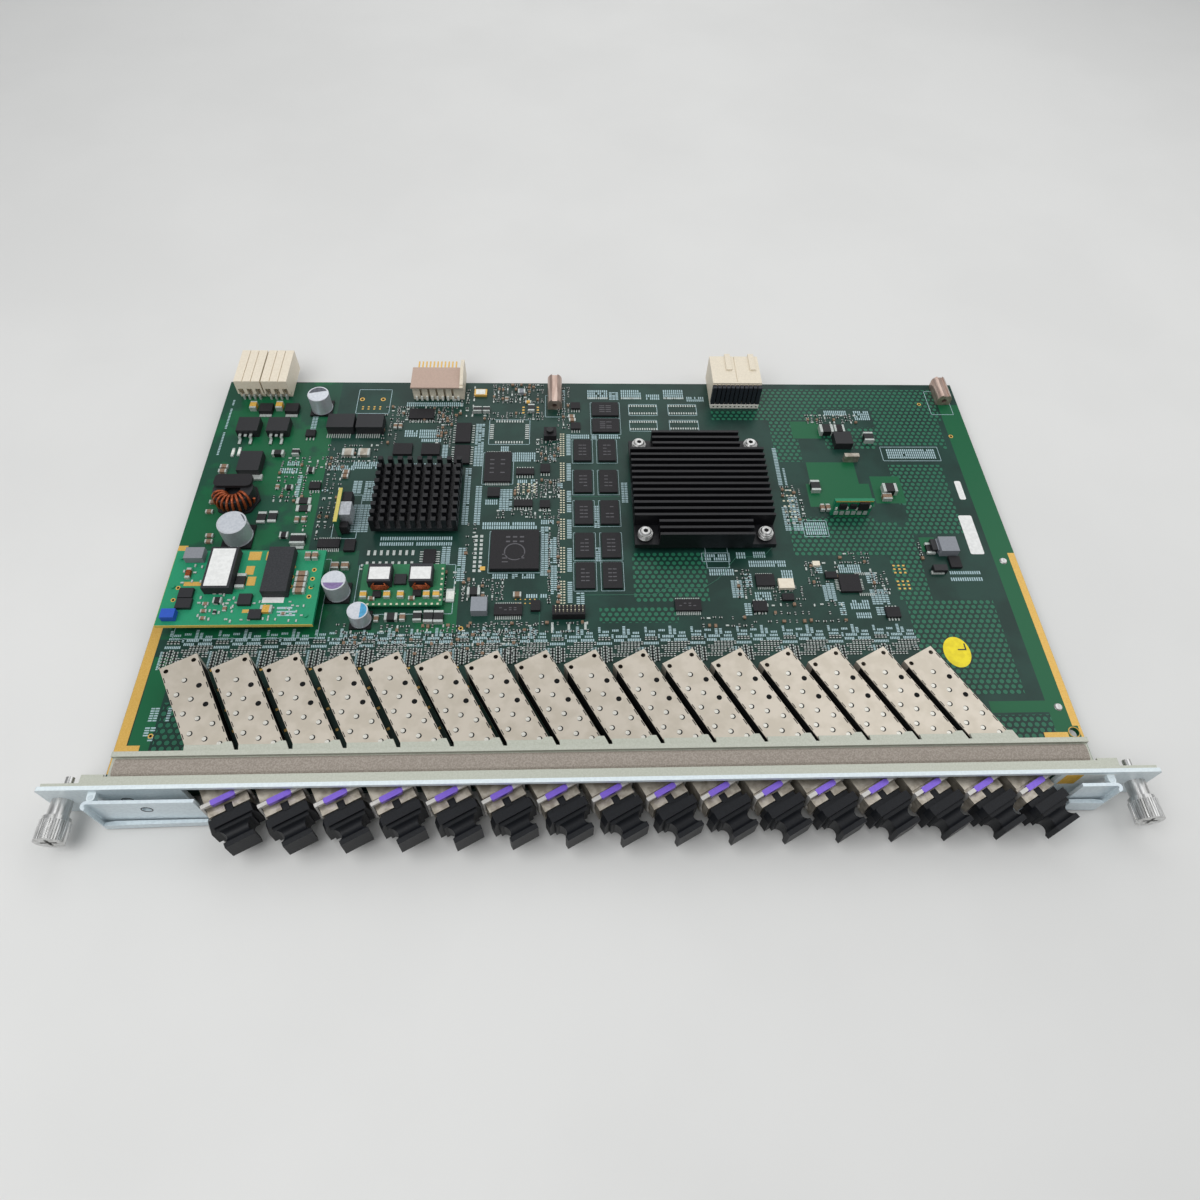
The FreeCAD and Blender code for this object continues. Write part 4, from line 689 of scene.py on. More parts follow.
def printDetails(p):
    spreadPiece("hatchedPrint", "silkInk", [strokes(*area) for area in p["hatched"]])
    lines = [line for area in p["framed"] for line in framed(*area)]
    for x, y, width, depth in memoryPlaces:
        lines += framed(x - width / 2 - 0.9, y - depth / 2 - 0.9, x + width / 2 + 0.9,
                        y + depth / 2 + 0.9, 0.2)
    shapes(addBlock, "framePrint", "silkInk", lines, "board")
    marks = []
    for x, y, width, depth in memoryPlaces:
        marks.append(field(x - width * 0.12, y - depth * 0.22, x + width * 0.12, y + depth * 0.22,
                           2, 4, (width * 0.2, 0.5, 0.02), z=1.2, keep=0.8))
    marks += [field(-42, 115, -36, 117.5, 3, 2, (1.8, 0.8, 0.02), z=2.2),
              field(-43, 104, -36, 108, 2, 3, (2.6, 0.5, 0.02), z=2.2, keep=0.8),
              field(-51, 156, -46, 164, 2, 4, (2.0, 0.6, 0.02), z=1.4, keep=0.8),
              field(-44, 80, -38, 81, 4, 2, (1.1, 0.4, 0.02), z=1.4, keep=0.8),
              field(31, 81.4, 37, 82.6, 4, 2, (1.1, 0.4, 0.02), z=1.4, keep=0.8)]
    spreadPiece("chipMarks", "packageMark", marks)
    shapes(addRod, "chipRing", "packageMark", [(-39.0, 109.4, 2.2, 2.22, 4.6, 40)], "package")
    shapes(addRod, "chipRingMiddle", "packageBlack", [(-39.0, 109.4, 2.22, 2.23, 4.1, 40)], "package")


printDetails(boardPrint)

goldPlaces = {
    "strips": [(-183.3, 11.5, 0.0, -179.3, 115, 0.03), (-179.3, 19.5, 0.0, -174.4, 22.5, 0.03),
               (180.2, 25, 0.0, 183.3, 109, 0.03), (182.3, 19.4, 0.0, 183.3, 25, 0.03),
               (167.8, 19.4, 0.0, 177.4, 22.4, 0.03)],
    "rings": [(-117.0, 205.7, 1.2), (-106.8, 205.7, 1.2), (-60.0, 72.0, 1.0), (-171.6, 26.2, 1.0),
              (163.5, 203.5, 1.0), (174.0, 181.0, 1.1)],
    "arrays": [*[(-18.9, low, -17.6, high, 2, count, 0.8) for low, high, count in stripRows],
               (-38.6, 145, -31, 150, 4, 4, 1.0), (84, 130, 88, 146, 3, 6, 1.0)],
    "pads": [(-116, 198.9, -107.6, 200.4, 4, 2, 0.9), (-38.8, 196.6, -35.8, 200.4, 1, 3, 1.1),
             (-31, 196.6, -29.4, 200.4, 1, 3, 1.1), (127, 98.6, 131.4, 102.4, 3, 3, 1.0),
             (127, 90.2, 131.4, 94, 3, 3, 1.0), (-38, 84, -30, 86, 5, 2, 0.6),
             (52.5, 176.5, 60.5, 178.5, 6, 2, 0.5)],
    "traces": [[(-11, 88), (21, 88), (26.4, 91.5), (41.4, 90.8), (48.6, 95.8), (58, 107.6),
                (69.8, 107.6), (75.6, 113.8)],
               [(43.7, 111), (42.6, 101.8), (45.6, 101)], [(-15.2, 142.4), (8, 142.4)],
               [(-28, 88), (-28, 62)]],
    "platedHole": (180.0, 22.3, 2.15),
}


def goldDetails(p):
    shapes(addWire, "copperTraces", "traceGreen",
           [([place(x, y, 0.0) for x, y in line], 0.13) for line in p["traces"]], "board")
    x, y, radius = p["platedHole"]
    points = []
    for k in range(25):
        dx, dy = onCircle(radius, k, 24)
        points.append(place(x + dx, y + dy, 0.0))
    shapes(addWire, "plateHoleRing", "goldPlate", [(points, 0.22)], "board")
    shapes(addBlock, "goldStrips", "goldPlate", p["strips"], "board")
    for pieceName, finishName, areas in (("goldPads", "goldPlate", p["pads"]),
                                         ("padArrays", "padCream", p["arrays"])):
        spreadPiece(pieceName, finishName, [field(*area, (size, size * 0.8, 0.05))
                                            for *area, size in areas])
    shapes(addRod, "goldRings", "goldPlate",
           [(x, y, 0.0, 0.05, radius, 24) for x, y, radius in p["rings"]], "board")
    shapes(addRod, "ringEyes", "holeAndShadeBlack",
           [(x, y, 0.05, 0.06, radius * 0.55, 24) for x, y, radius in p["rings"]], "board")


goldDetails(goldPlaces)
print("print and pads made")

# loose small parts, gathered by finish and made into one piece each
gathered = {}


def part(finishName, x0, y0, z0, x1, y1, z1):
    if finishName not in gathered:
        gathered[finishName] = bmesh.new()
    addBlock(gathered[finishName], x0, y0, z0, x1, y1, z1)


def box(finishName, x, y, width, depth, height, base=0.0):
    part(finishName, x - width / 2, y - depth / 2, base, x + width / 2, y + depth / 2, base + height)


def ended(x, y, length, width, height, finishName, along="x", base=0.0):
    # a body between two soldered ends
    end = 0.2 * length
    for side in (-1, 1):
        if along == "x":
            box("solderPad", x + side * (length - end) / 2, y, end, width, height * 0.97, base)
        else:
            box("solderPad", x, y + side * (length - end) / 2, width, end, height * 0.97, base)
    middle = length - 2 * end
    size = (middle, width) if along == "x" else (width, middle)
    box(finishName, x, y, *size, height, base)


smallParts = {
    # finish and direction, then x, y, length, width and height of each part between soldered ends
    "ended": [
        ("tantalum", "y", [(-168.2, 199.3, 4.6, 3.0, 2.6), (-155.8, 199.4, 4.6, 3.0, 2.6)]),
        ("tantalum", "x", [(-35.0, 203.6, 3.0, 1.6, 1.0)]),
        ("resistorBlack", "x", [(-150.8, 168.1, 5.4, 2.8, 2.2), (-134.2, 157.8, 3.2, 3.0, 1.6),
            (-142.2, 147.4, 3.4, 2.4, 1.4), (-134.5, 139.8, 6.6, 3.4, 0.8),
            (-133.8, 135.4, 6.6, 3.4, 0.8), (-55.6, 89.1, 5.4, 3.6, 2.2), (-88.6, 77.0, 5.2, 3.4, 2.0),
            (134.3, 145.2, 6.6, 5.0, 3.2), (111.4, 183.7, 6.6, 5.2, 3.0)]),
        ("resistorBlack", "y", [(-142.8, 168.8, 3.4, 3.2, 2), (-151.2, 130.2, 6.2, 3.6, 0.9),
            (-146.5, 130.6, 6.2, 3.6, 0.9), (-59.7, 197.5, 3.2, 4.0, 2.0), (-55.4, 197.5, 3.2, 3.4, 2.0),
            (-33.4, 198.6, 4.6, 3.2, 2.0), (-77.9, 77.2, 4.6, 3.4, 2.0), (-73.4, 76.9, 5.6, 3.8, 2.2),
            (-69.2, 76.8, 5.6, 3.8, 2.2), (145.3, 111.2, 6.0, 3.6, 1.2), (99.7, 147.3, 6.2, 4.2, 2.4),
            (131.5, 178.7, 5.6, 4.6, 2.6)]),
        ("whitePlastic", "y", [(-172.0, 169.3, 5.2, 1.2, 0.8), (-169.2, 169.8, 5.2, 1.2, 0.8),
            (-65.3, 87.8, 6.4, 3.4, 1.0)]),
        ("capBrown", "x", [(-173.9, 160.2, 3.6, 2.0, 1.4), (-174.1, 157.4, 3.6, 2.0, 1.4),
            (-174.2, 139.0, 3.2, 1.8, 1.2), (-174.6, 133.5, 3.2, 1.8, 1.2),
            (-171.4, 120.0, 3.2, 1.8, 1.2), (-171.0, 116.8, 3.2, 1.8, 1.2),
            (-118.0, 157.0, 3.0, 2.0, 1.2), (-118.2, 154.4, 3.0, 2.0, 1.2), (-13.6, 193.4, 3.2, 2.0, 1.2),
            (-13.2, 191.0, 3.2, 2.0, 1.2), (-37.4, 88.0, 3.4, 2.4, 1.2)]),
        ("capBrown", "y", [(-147.6, 148.0, 2.6, 1.6, 1.0), (-135.6, 128.8, 3.2, 1.8, 1.2),
            (-132.6, 128.8, 3.2, 1.8, 1.2), (-115.0, 103.1, 3.2, 3.0, 2.0),
            (-110.8, 103.1, 3.2, 3.0, 2.0), (-98.6, 186.6, 3.0, 1.6, 1.2), (-96.2, 186.6, 3.0, 1.6, 1.2),
            (-71.4, 206.0, 3.0, 1.6, 1.2), (132.4, 140.8, 3.4, 4.2, 2.2), (101.0, 134.8, 3.6, 1.8, 1.6),
            (103.6, 134.8, 3.6, 1.8, 1.6), (-45.8, 205.6, 2.6, 1.6, 1.0), (-84.0, 77.0, 3.4, 2.2, 1.6),
            (-94.6, 76.6, 3.0, 1.8, 1.2), (-124.2, 190.6, 4.4, 3.0, 2.2)]),
        ("coilGrey", "x", [(-38.4, 210.5, 3.6, 3.0, 1.8)]),
        ("packageBlack", "x", [(118.6, 185.6, 5.0, 4.6, 1.2), (-139.6, 120.0, 3.6, 3.0, 1.4)]),
        ("packageBlack", "y", [(-133.0, 117.3, 5.4, 6.2, 2.2)]),
        ("moduleSteel", "x", [(-118.6, 168.8, 5.4, 4.2, 1.8), (-111.2, 168.8, 5.4, 4.2, 1.8)])],
    # finish, then x, y, width, depth and height of each plain body
    "boxes": [
        ("packageBlack", [(-161.8, 197.5, 6.2, 5.6, 2.4), (-149.4, 197.6, 6.2, 5.6, 2.4),
            (-130.7, 148.3, 5.0, 4.0, 1.6), (-138.0, 181.3, 4.4, 4.2, 1.6),
            (-119.6, 115.4, 9.4, 4.6, 1.2), (-110.4, 114.1, 4.6, 6.2, 1.6), (-75.6, 107.8, 5.2, 7.4, 1.5),
            (-49.6, 144.4, 5.6, 5.4, 1.4), (-35.6, 157.0, 8.4, 3.6, 1.4), (-26.2, 159.0, 4.4, 5.0, 1.4),
            (-36.0, 137.8, 8.4, 3.8, 1.4), (-26.2, 137.2, 4.6, 4.2, 1.4), (-11.6, 200.6, 4.6, 4.2, 1.4),
            (-11.6, 186.6, 4.6, 4.2, 1.4), (-29.6, 82.2, 4.0, 5.0, 1.5)]),
        ("solderPad", [(-161.8, 193.8, 5.6, 1.6, 0.5), (-149.4, 193.8, 5.6, 1.6, 0.5),
            (-161.0, 153.6, 11.0, 3.0, 1.2), (-133.0, 113.6, 5.6, 1.4, 0.5), (145.6, 98.2, 5.6, 1.6, 0.8),
            (-166.0, 106.6, 3.0, 1.6, 0.4)]),
        ("goldPlate", [(-58.8, 209.9, 6.2, 4.4, 1.2), (-52.6, 101.9, 2.2, 2.0, 0.4)]),
        ("whitePlastic", [(-58.8, 209.9, 4.6, 3.4, 1.5)]),
        ("creamPlastic", [(77.5, 92.4, 6.6, 5.0, 1.6), (92.4, 103.0, 3.2, 2.4, 1.4)]),
        ("moduleSteel", [(120.0, 164.8, 7.0, 2.2, 4.0)])],
    # rows of leads: direction, first, last, where the rows lie across it, count, width, depth
    "leads": [
        ("x", -130.2, -119.6, (180.4,), 11, 0.45, 2.6), ("x", -116.4, -105.8, (180.4,), 11, 0.45, 2.6),
        ("x", -53.6, -43.0, (149.9,), 14, 0.4, 1.6), ("x", -53.6, -43.0, (169.7,), 14, 0.4, 1.4),
        ("x", -46.0, -35.8, (76.9,), 14, 0.36, 1.8), ("x", -46.0, -35.8, (83.8,), 14, 0.36, 1.2),
        ("x", 29.4, 39.2, (78.4,), 14, 0.36, 1.8), ("x", 29.4, 39.2, (85.4,), 14, 0.36, 1.2),
        ("x", -92.0, -81.2, (190.4,), 9, 0.6, 2.0), ("x", -39.2, -32.0, (154.4, 159.6), 7, 0.5, 1.6),
        ("x", -28.0, -24.4, (155.7,), 4, 0.5, 1.6), ("x", -39.8, -32.2, (135.1, 140.5), 7, 0.5, 1.6),
        ("x", -28.2, -24.4, (134.3,), 4, 0.5, 1.6), ("x", -13.4, -9.8, (197.7, 183.7), 4, 0.5, 1.6),
        ("x", -124.0, -115.2, (112.2,), 12, 0.36, 1.8), ("x", -124.0, -115.2, (118.4,), 12, 0.36, 1.2),
        ("y", 104.6, 111.0, (-79.0, -72.2), 6, 1.8, 0.5),
        ("x", -132.6, -128.8, (145.4, 151.2), 4, 0.5, 1.6), ("x", -139.6, -136.4, (178.4,), 3, 0.6, 1.6),
        ("x", -50.0, -37.4, (176.4, 190.4), 11, 0.6, 1.4), ("y", 179, 188, (-52.2, -35.2), 8, 1.8, 0.6),
        ("x", -102.0, -83.0, (110.6, 104.6), 8, 1.1, 2.6), ("y", 176.4, 187.4, (-61, -70), 8, 1.2, 0.5),
        ("y", 162.6, 173.0, (-61, -70), 8, 1.2, 0.5), ("x", 109, 115, (87.2, 98), 8, 0.35, 1.4),
        ("y", 90, 95, (100, 110.6), 7, 1.4, 0.35), ("x", 118.8, 122.8, (74.6, 80.6), 4, 0.6, 1.4),
        ("x", 62.6, 66.8, (78.2, 84.2), 4, 0.6, 1.4), ("x", 65.4, 72.0, (90.8, 98), 9, 0.3, 1.2),
        ("x", 15.4, 28.6, (196.2, 201.4), 12, 0.6, 1.2), ("x", 35.2, 48.4, (196.3, 201.5), 12, 0.6, 1.2),
        ("x", 15.4, 28, (185.4, 190.3), 12, 0.6, 1.2), ("x", 35.2, 48.4, (185.8, 190.4), 12, 0.6, 1.2),
        ("x", -5.2, 4.4, (206.9,), 12, 0.5, 1.0), ("x", 11.7, 21.4, (206.9,), 12, 0.5, 1.0),
        ("x", 33.2, 42.8, (207.0,), 12, 0.5, 1.0)],
    # x0, y0, x1, y1, columns, rows, width, depth
    "leadBlocks": [(-56.2, 100.8, -53.8, 119.4, 2, 9, 1.3, 1.4), (-22.6, 72.6, -9.0, 72.6, 3, 1, 1.0, 3.6)],
    "leadHeight": 0.25,
    # bent legs of the two big transistors: y, depth, height, level
    "legs": [(178.6, 2.0, 0.5, 2.0), (176.2, 3.2, 0.5, 0.4), (177.6, 0.6, 2.1, 0.4)],
    "legSpots": (-170.3, -165.3, -155.9, -150.9), "middleLegSpots": (-167.7, -153.3),
    "headerCorner": (-21.2, 77.2), "postPitch": (1.6, 2.0), "postWidth": 0.42, "postHeight": 5.6,
}


def placeParts(p, base=0.0):
    for finishName, along, spots in p["ended"]:
        for spot in spots:
            ended(*spot, finishName, along, base)
    for finishName, spots in p["boxes"]:
        for spot in spots:
            box(finishName, *spot, base)


def boardParts(p):
    placeParts(p)
    leads = []
    for along, first, last, across, count, width, depth in p["leads"]:
        for at in across:
            area = (first, at, last, at, count, 1) if along == "x" else (at, first, at, last, 1, count)
            leads.append(field(*area, (width, depth, p["leadHeight"])))
    leads += [field(*area, (width, depth, p["leadHeight"])) for *area, width, depth in p["leadBlocks"]]
    spreadPiece("chipLeads", "solderPad", leads)
    for x in p["legSpots"]:
        for y, depth, height, base in p["legs"]:
            box("solderPad", x, y, 1.2, depth, height, base)
    for x in p["middleLegSpots"]:
        box("solderPad", x, 178.6, 1.2, 1.4, 0.5, 2.0)
    x, y = p["headerCorner"]
    for k in range(8):  # the header's posts stand over its black strip
        for row in (0, 1):
            box("padCream", x + k * p["postPitch"][0], y + row * p["postPitch"][1],
                p["postWidth"], p["postWidth"], p["postHeight"])


boardParts(smallParts)

# choke, cans, power module, converter and the two upright boards
powerParts = {
    "chokeSpot": (-163.55, 140.4), "ring": 6.0, "wire": 0.62, "turns": 9, "reach": 3.3,
    "rise": 4.2, "middle": 4.9, "arc": (198, 342),
    # x, y, radius, height, shade of the printed segment, its first and last angle
    "cans": [(-135.15, 198.6, 5.0, 10.0, "canInk", 30, 175),
             (-158.75, 119.4, 6.2, 10.5, "canInk", 5, 60),
             (-111.65, 89.4, 4.9, 10.0, "canPurple", 195, 345),
             (-100.65, 76.0, 4.2, 8.0, "canBlue", -75, 75)],
}


def windingPoints(x, y, p):  # a wire wound round a ring, its loops standing across it
    points, perTurn = [], 12
    start, end = p["arc"]
    for k in range(p["turns"] * perTurn + 1):
        around = math.radians(start + (end - start) * k / (p["turns"] * perTurn))
        out, rise = onCircle(1.0, k, perTurn)
        out = p["ring"] + p["reach"] * out
        points.append(place(x + out * math.cos(around), y + out * math.sin(around),
                            p["middle"] + p["rise"] * rise))
    return points


def chokeDetails(p):
    x, y = p["chokeSpot"]
    bm = bmesh.new()
    roundedPlate(bm, x - 8.6, y + 0.6, x + 8.0, y + 7.6, 8.0, 9.4, 2.2)
    addRod(bm, x, y, 0.0, 1.0, 10.0, 8)
    finishPiece(bm, "chokeMount", "packageBlack")
    shapes(addWire, "chokeWinding", "copperWire", [(windingPoints(x, y, p), p["wire"])], "package")


def canDetails(p):
    rims, marks = bmesh.new(), {}
    for x, y, radius, height, shade, start, end in p["cans"]:
        addRod(rims, x, y, 1.0, 1.5, radius + 0.03, 40)
        addRod(rims, x, y, height - 0.5, height + 0.06, radius * 0.97, 40, top=radius * 0.9)
        steps = 12  # the printed segment of the top, a chord cut off the circle
        angles = [math.radians(start + (end - start) * k / steps) for k in range(steps + 1)]
        if shade not in marks:
            marks[shade] = bmesh.new()
        marks[shade].faces.new([marks[shade].verts.new(
            place(x + 0.88 * radius * math.cos(a), y + 0.88 * radius * math.sin(a), height + 0.08))
            for a in angles])
    finishPiece(rims, "canRims", "canShell")
    for shade, bm in marks.items():
        finishPiece(bm, f"{shade}Mark", shade)


brickDetails = {
    "level": 8.0,
    "ended": [
        ("capBrown", "y", [(-121.3, 102.5, 3.4, 2.2, 2.0), (-124.2, 102.5, 3.4, 2.2, 2.0),
            (-153.0, 77.0, 2.4, 1.4, 0.8)]),
        ("capBrown", "x", [(-125.1, 93.4, 4.6, 2.2, 1.8), (-125.1, 90.6, 4.6, 2.2, 1.8),
            (-125.1, 87.8, 4.6, 2.2, 1.8), (-125.1, 85.0, 4.6, 2.2, 1.8), (-161.0, 79.4, 2.4, 1.4, 0.8),
            (-161.0, 76.0, 2.4, 1.4, 0.8), (-160.6, 72.6, 2.4, 1.4, 0.8), (-129.6, 74.6, 2.0, 1.2, 0.6)]),
        ("resistorBlack", "y", [(-149.3, 90.2, 7.0, 3.6, 1.4), (-156.6, 75.4, 2.0, 1.2, 0.8)]),
        ("resistorBlack", "x", [(-156.4, 80.6, 3.4, 2.6, 1.6)]),
        ("tantalum", "x", [(-136.5, 76.4, 4.6, 3.4, 1.4)]),
        ("copperWire", "y", [(-171.1, 94.0, 5.0, 1.8, 1.6)])],
    "boxes": [
        ("goldPlate", [(-146.4, 103.4, 5.0, 4.4, 0.1), (-140.4, 103.4, 2.6, 4.4, 0.1),
            (-147.0, 96.0, 3.4, 4.4, 0.1), (-145.4, 90.6, 3.4, 4.4, 0.1), (-168.6, 89.4, 7.0, 2.0, 0.1),
            (-143.4, 76.0, 5.2, 1.6, 0.1)]),
        ("labelWhite", [(-134.9, 82.1, 8.6, 4.4, 0.1)]),
        ("silkInk", [(-129.6, 77.4, 6.0, 1.0, 0.06), (-128.4, 75.6, 8.0, 0.8, 0.06),
            (-128.4, 74.0, 7.0, 0.8, 0.06)])],
    "holes": [(-120.9, 96.1), (-120.9, 91.6), (-120.9, 87.4), (-120.9, 82.8), (-173.9, 87.5),
              (-174.4, 81.6), (-129.6, 97.6), (-129.4, 92.6), (-129.2, 87.8)],
    "label": (-162.0, 85.4, 12.5, -152.8, 104.0, 12.55),
}


def brickParts(p):
    level = p["level"]
    placeParts(p, level)
    shapes(addRod, "brickRings", "goldPlate",
           [(x, y, level, level + 0.05, 0.95, 20) for x, y in p["holes"]], "brick")
    shapes(addRod, "brickHoles", "holeAndShadeBlack",
           [(x, y, level + 0.05, level + 0.07, 0.5, 20) for x, y in p["holes"]], "brick")
    part("labelWhite", *p["label"])
    spreadPiece("brickSpecks", "solderPad", [
        field(-163, 71.6, -150, 88, 7, 9, (1.3, 0.7, 0.5), z=level, shift=0.7, keep=0.35, turns=1),
        field(-150, 71.6, -122, 80, 12, 5, (1.1, 0.6, 0.4), z=level, shift=0.8, keep=0.4, turns=1),
        field(-176, 90, -166, 98, 4, 4, (1.3, 0.7, 0.5), z=level, shift=0.7, keep=0.5, turns=1)])


converterDetails = {
    "level": 3.0, "top": 7.6, "coils": (-94.2, -77.2), "wire": 0.4, "wireStep": 0.8,
    "ended": [("tantalum", "y", [(x, 86.2, 3.2, 2.6, 1.8) for x in (-100.4, -90.8, -85.2, -74.6, -70.6)]),
              ("capBrown", "x", [(x, 84.6, 2.6, 1.6, 1.2) for x in (-97.0, -80.6)])],
    "boxes": [("packageBlack", [(-95.0, 86.6, 3.4, 3.0, 1.2), (-78.6, 87.0, 3.4, 3.0, 1.2)])],
}


def converterParts(p):
    wires = []
    for x in p["coils"]:
        part("labelWhite", x - 4.2, 91.6, p["top"], x + 4.2, 97.8, p["top"] + 0.05)
        for k in range(4):  # flat wire coming out of the coil's front
            z, half = p["level"] + 0.7 + p["wireStep"] * k, 3.6 - 0.5 * k
            wires.append(([place(x - half, 90.4, z), place(x - 2.8, 89.2, z),
                           place(x + 2.8, 89.2, z), place(x + half, 90.4, z)], p["wire"]))
    shapes(addWire, "coilWires", "copperWire", wires, "converter")
    placeParts(p, p["level"])
    spreadPiece("castelPads", "padCream", [
        field(-100.8, 82.2, -69.8, 82.2, 14, 1, (0.9, 0.9, 1.3), z=1.78),
        field(-69.0, 84, -69.0, 100, 1, 7, (0.9, 0.9, 1.3), z=1.78)])


uprightDetails = {
    "footPads": 6, "footPitch": 2.7,
    # right board, whose face looks forward: x, z, width, height
    "packages": [(106.6, 5.2, 3.2, 3.2), (111.4, 5.6, 3.0, 2.6), (115.4, 4.6, 4.6, 4.6)],
    "specks": [(105.2, 4.2), (110.2, 4.4), (114.6, 4.0), (120.4, 5.4)],
    "strip": (104.4, 130.95, 9.3, 121.6, 131.05, 9.95),
    # left board, whose parts stand out of its right face: finish, y0, z0, x1, y1, z1
    "leftFace": -115.0,
    "left": [("coilSilver", 124.6, 2.4, -110.2, 132.0, 9.2),
             ("packageBlack", 133.0, 4.0, -110.8, 138.4, 8.4),
             ("packageBlack", 120.6, 1.0, -111.4, 123.8, 5.4),
             ("tantalum", 132.2, 1.0, -112.4, 133.6, 3.4)],
}


def uprightParts(p):
    for k in range(p["footPads"]):
        x = k * p["footPitch"]
        part("solderPad", 105.2 + x, 130.4, 1.0, 107.0 + x, 131.02, 3.0)
    for x, z, width, height in p["packages"]:
        part("packageBlack", x, 129.9, z, x + width, 131.0, z + height)
    for x, z in p["specks"]:
        part("whitePlastic", x, 130.5, z, x + 0.8, 131.0, z + 1.6)
    part("goldPlate", *p["strip"])
    for finishName, *rest in p["left"]:
        part(finishName, p["leftFace"], *rest)


chokeDetails(powerParts)
canDetails(powerParts)
brickParts(brickDetails)
converterParts(converterDetails)
uprightParts(uprightDetails)
print("power parts detailed")

# rear connectors, heat-sink screws, labels and the marks on the front
rearDetails = [
    # piece and finish, then its rows: x0, x1, y, count, the size of each and its level
    ("signalPins", "goldPlate", [(-89.4, -71.0, 220.6, 11, (0.7, 7.6, 0.6), 7.6),
                                 (-89.4, -71.0, 218.6, 11, (0.7, 3.4, 0.6), 5.2)]),
    ("signalTails", "whitePlastic", [(-90.0, -69.6, 205.4, 9, (1.0, 0.8, 2.4), 0.0)]),
    ("dataDots", "holeAndShadeBlack", [(57.4, 78.8, 200.18, 11, (0.7, 0.1, 0.6), 0.9)]),
    ("powerTails", "solderPad", [(-174.0, -166.4, 205.9, 4, (0.9, 1.4, 2.6), 0.0),
                                 (-161.1, -153.5, 205.9, 4, (0.9, 1.4, 2.6), 0.0)]),
]


def rearParts(pieces):
    for pieceName, finishName, rows in pieces:
        spreadPiece(pieceName, finishName, [field(x0, y, x1, y, count, 1, size, z=z)
                                            for x0, x1, y, count, size, z in rows])


sinkScrews = {"spots": [(17.8, 115.0), (70.6, 115.0), (17.8, 167.8), (70.6, 167.8)],
              "seat": 5.5, "head": 8.9, "spring": 3.1, "wire": 0.26, "turns": 4, "rise": 2.4,
              "cap": 0.7, "capFoot": 2.6, "capTop": 2.0, "socket": 1.1}


def sinkScrewDetails(p):
    springs, perTurn, count = [], 16, p["turns"] * 16
    for x, y in p["spots"]:
        points = []
        for k in range(count + 1):
            dx, dy = onCircle(p["spring"], k, perTurn)
            points.append(place(x + dx, y + dy, p["seat"] + 0.3 + p["rise"] * k / count))
        springs.append((points, p["wire"]))
    top = p["head"] + p["cap"]
    shapes(addWire, "screwSprings", "brushedSteel", springs, "screws")
    shapes(addRod, "screwCaps", "brushedSteel",
           [(x, y, p["head"], top, p["capFoot"], 28) for x, y in p["spots"]], "screws", top=p["capTop"])
    shapes(addRod, "screwSockets", "holeAndShadeBlack",
           [(x, y, top, top + 0.02, p["socket"], 6) for x, y in p["spots"]], "screws")


labelPlaces = {"plates": [(163.6, 108.4, 169.8, 130.6), (167.4, 140.2, 170.4, 151.6)],
               "sticker": (143.5, 58.5, 5.6, 7.2), "rivets": [(177.1, 104.6), (177.4, 33.1)]}


def labelParts(p):
    shapes(roundedPlate, "boardLabels", "labelWhite",
           [(*plate, 0.0, 0.08, 0.8) for plate in p["plates"]], "board")
    x, y, across, along = p["sticker"]
    shapes(addRod, "roundSticker", "stickerYellow", [(x, y, 0.0, 0.1, across, 64)], "board",
           flat=along / across)
    shapes(addBlock, "stickerStroke", "labelInk", [
        (x + 0.6, y + 0.8, 0.1, x + 4.2, y + 1.4, 0.12),
        (x + 3.6, y + 1.4, 0.1, x + 4.2, y + 4.0, 0.12)], "board")
    shapes(addRod, "boardRivets", "brushedSteel",
           [(x, y, 0.0, 0.5, 1.7, 24) for x, y in p["rivets"]], "screws", top=1.3)


frontDetails = {
    "lampRing": 1.9, "wire": 0.16,
    # a dark ring round the lamp hole in the plate and another on the left lever
    "rings": [("plateLampRing", "card", -170.5, -0.02, 4.6, "plate"),
              ("leverLampRing", "left_lever", -161.3, -4.82, 8.0, "lever")],
    "labels": [("plateLabels", "labelOrange", (163.0, -0.06, 4.4, 169.4, 0.0, 12.6)),
               ("plateLabelWhite", "labelWhite", (170.0, -0.06, 4.4, 181.5, 0.0, 12.6))],
}


def frontMarks(p):
    for pieceName, body, x, y, z, slotName in p["rings"]:
        points = []
        for k in range(25):
            dx, dz = onCircle(p["lampRing"], k, 24)
            points.append(place(x + dx, y, z + dz))
        bm = bmesh.new()
        addWire(bm, points, p["wire"])
        finishPiece(bm, pieceName, "labelInk", body)
    for pieceName, finishName, block in p["labels"]:
        shapes(addBlock, pieceName, finishName, [block], "plate")


rearParts(rearDetails)
sinkScrewDetails(sinkScrews)
labelParts(labelPlaces)
frontMarks(frontDetails)

gatheredNames = {
    "solderPad": "partEnds", "resistorBlack": "darkBodies", "capBrown": "ceramicBodies",
    "tantalum": "goldenBodies", "whitePlastic": "paleBodies", "packageBlack": "smallPackages",
    "moduleSteel": "steelBodies", "goldPlate": "goldBodies", "creamPlastic": "creamBodies",
    "labelWhite": "moduleLabels", "padCream": "headerPosts", "silkInk": "modulePrint",
    "copperWire": "copperBodies", "coilGrey": "greyBodies", "coilSilver": "silverBodies",
}
for finishName, bm in gathered.items():
    finishPiece(bm, gatheredNames[finishName], finishName)

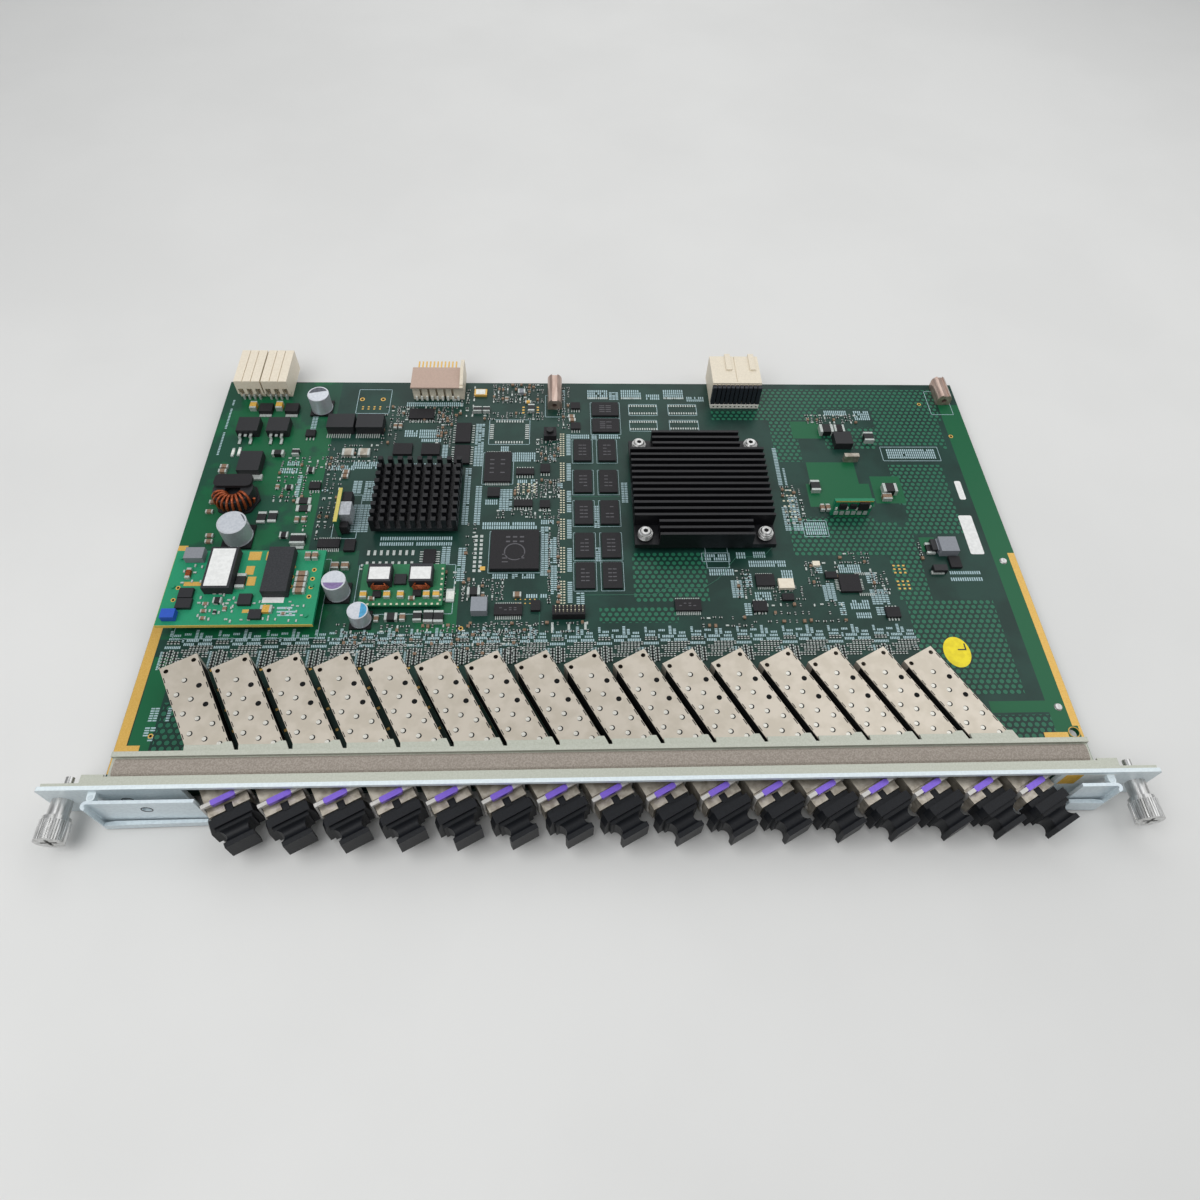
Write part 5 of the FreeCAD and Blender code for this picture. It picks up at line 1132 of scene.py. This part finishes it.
# the smallest surface-mounted parts, strewn between the larger ones
strewn = {
    # piece, finish, size of each and how many of them stay
    "kinds": [("solderPads", "solderPad", (1.5, 0.75, 0.4), 0.75),
              ("tinyBodies", "resistorBlack", (0.8, 0.8, 0.48), 0.6),
              ("tinyCapacitors", "capBrown", (1.5, 1.2, 0.9), 0.08)],
    # x0, y0, x1, y1, columns, rows
    "dense": [(-126, 122, -120, 164, 3, 16), (-106, 61, -98, 70, 5, 5), (-94, 60, -30, 73, 32, 7),
              (-60, 86, -44, 96, 9, 7), (-47, 130, -20, 134, 14, 3), (-30, 142, -20, 152, 6, 8),
              (-30, 164, -20, 178, 6, 10), (-24, 84, -20, 130, 2, 30), (-98, 190, -70, 200, 14, 8),
              (-56, 192, -28, 196, 14, 3), (-40, 142, -30, 149, 6, 5), (-78, 174, -72, 200, 4, 14),
              (57, 86, 62, 100, 3, 8), (72, 85, 84, 91, 6, 4), (88, 92, 92, 104, 3, 8),
              (104, 104, 116, 109, 7, 3), (116, 88, 122, 100, 4, 8), (84, 126, 92, 148, 4, 12),
              (104, 190, 128, 195, 12, 4), (140, 106, 142, 116, 1, 6), (-20, 186, -15, 214, 3, 16),
              (-52, 204, -28, 216, 12, 8), (-68, 194, -62, 214, 3, 12), (-132, 160, -120, 166, 7, 4),
              (-104, 98, -98, 104, 4, 4), (-56, 70, -8, 74, 24, 2), (40, 72, 60, 76, 9, 2),
              (-148, 140, -136, 166, 5, 12), (-132, 118, -126, 146, 2, 12), (-128, 164, -106, 174, 10, 5),
              (-104, 176, -98, 200, 3, 10), (-72, 86, -60, 100, 4, 6), (62, 74, 100, 82, 14, 3),
              (96, 84, 101, 104, 2, 9), (-110, 60, -98, 74, 5, 5), (-60, 110, -57, 126, 2, 8)],
}


def strewnParts(p):
    for pieceName, finishName, size, keep in p["kinds"]:
        spreadPiece(pieceName, finishName, [
            field(*area, size, shift=0.25, smallest=0.8, turns=1, keep=keep) for area in p["dense"]])


strewnParts(strewn)
print("small parts made")

# camera, lights and floor
cameraPlace = {"x": -17.3, "y": -110.7, "z": 296.8, "lens": 25.362, "shiftX": -0.00358,
               "shiftY": -0.01608, "turn": (34.8042, -1.9851, -1.8148)}


def makeCamera(p):
    data = bpy.data.cameras.new("camera")
    data.sensor_width = 36
    data.lens = p["lens"]
    data.shift_x = p["shiftX"]
    data.shift_y = p["shiftY"]
    data.clip_start = 0.01
    camera = addObject("camera", data)
    camera.location = place(p["x"], p["y"], p["z"])
    camera.rotation_euler = [math.radians(angle) for angle in p["turn"]]
    bpy.context.scene.camera = camera


makeCamera(cameraPlace)
lamps = {
    "key": (Vector((-0.35, -0.25, 0.75)), 0.7, 4.2),
    "fill": (Vector((0.55, 0.1, 0.6)), 0.8, 2.2),
    "back": (Vector((0.0, 0.75, 0.55)), 0.8, 2.2),
}
for lampName, (spot, size, power) in lamps.items():
    data = bpy.data.lights.new(lampName, "AREA")
    data.size = size
    data.energy = power
    facing = (-spot).to_track_quat("-Z", "Y").to_matrix().to_4x4()
    addObject(lampName, data).matrix_world = Matrix.Translation(spot) @ facing
world = bpy.data.worlds.new("studio")
world.use_nodes = True
world.node_tree.nodes["Background"].inputs["Color"].default_value = (0.95, 0.97, 1.0, 1.0)
world.node_tree.nodes["Background"].inputs["Strength"].default_value = 0.34
bpy.context.scene.world = world
bpy.context.scene.view_settings.view_transform = "Standard"
grain("paleFloor", "#dcdcda", "#d9d9d7", 8, 0.9)
bpy.ops.mesh.primitive_plane_add(size=3.0, location=(0, 0, -0.0002))
floor = bpy.context.object
floor.name = "floor"
floor.data.materials.append(finishes["paleFloor"])
print("camera and light set")
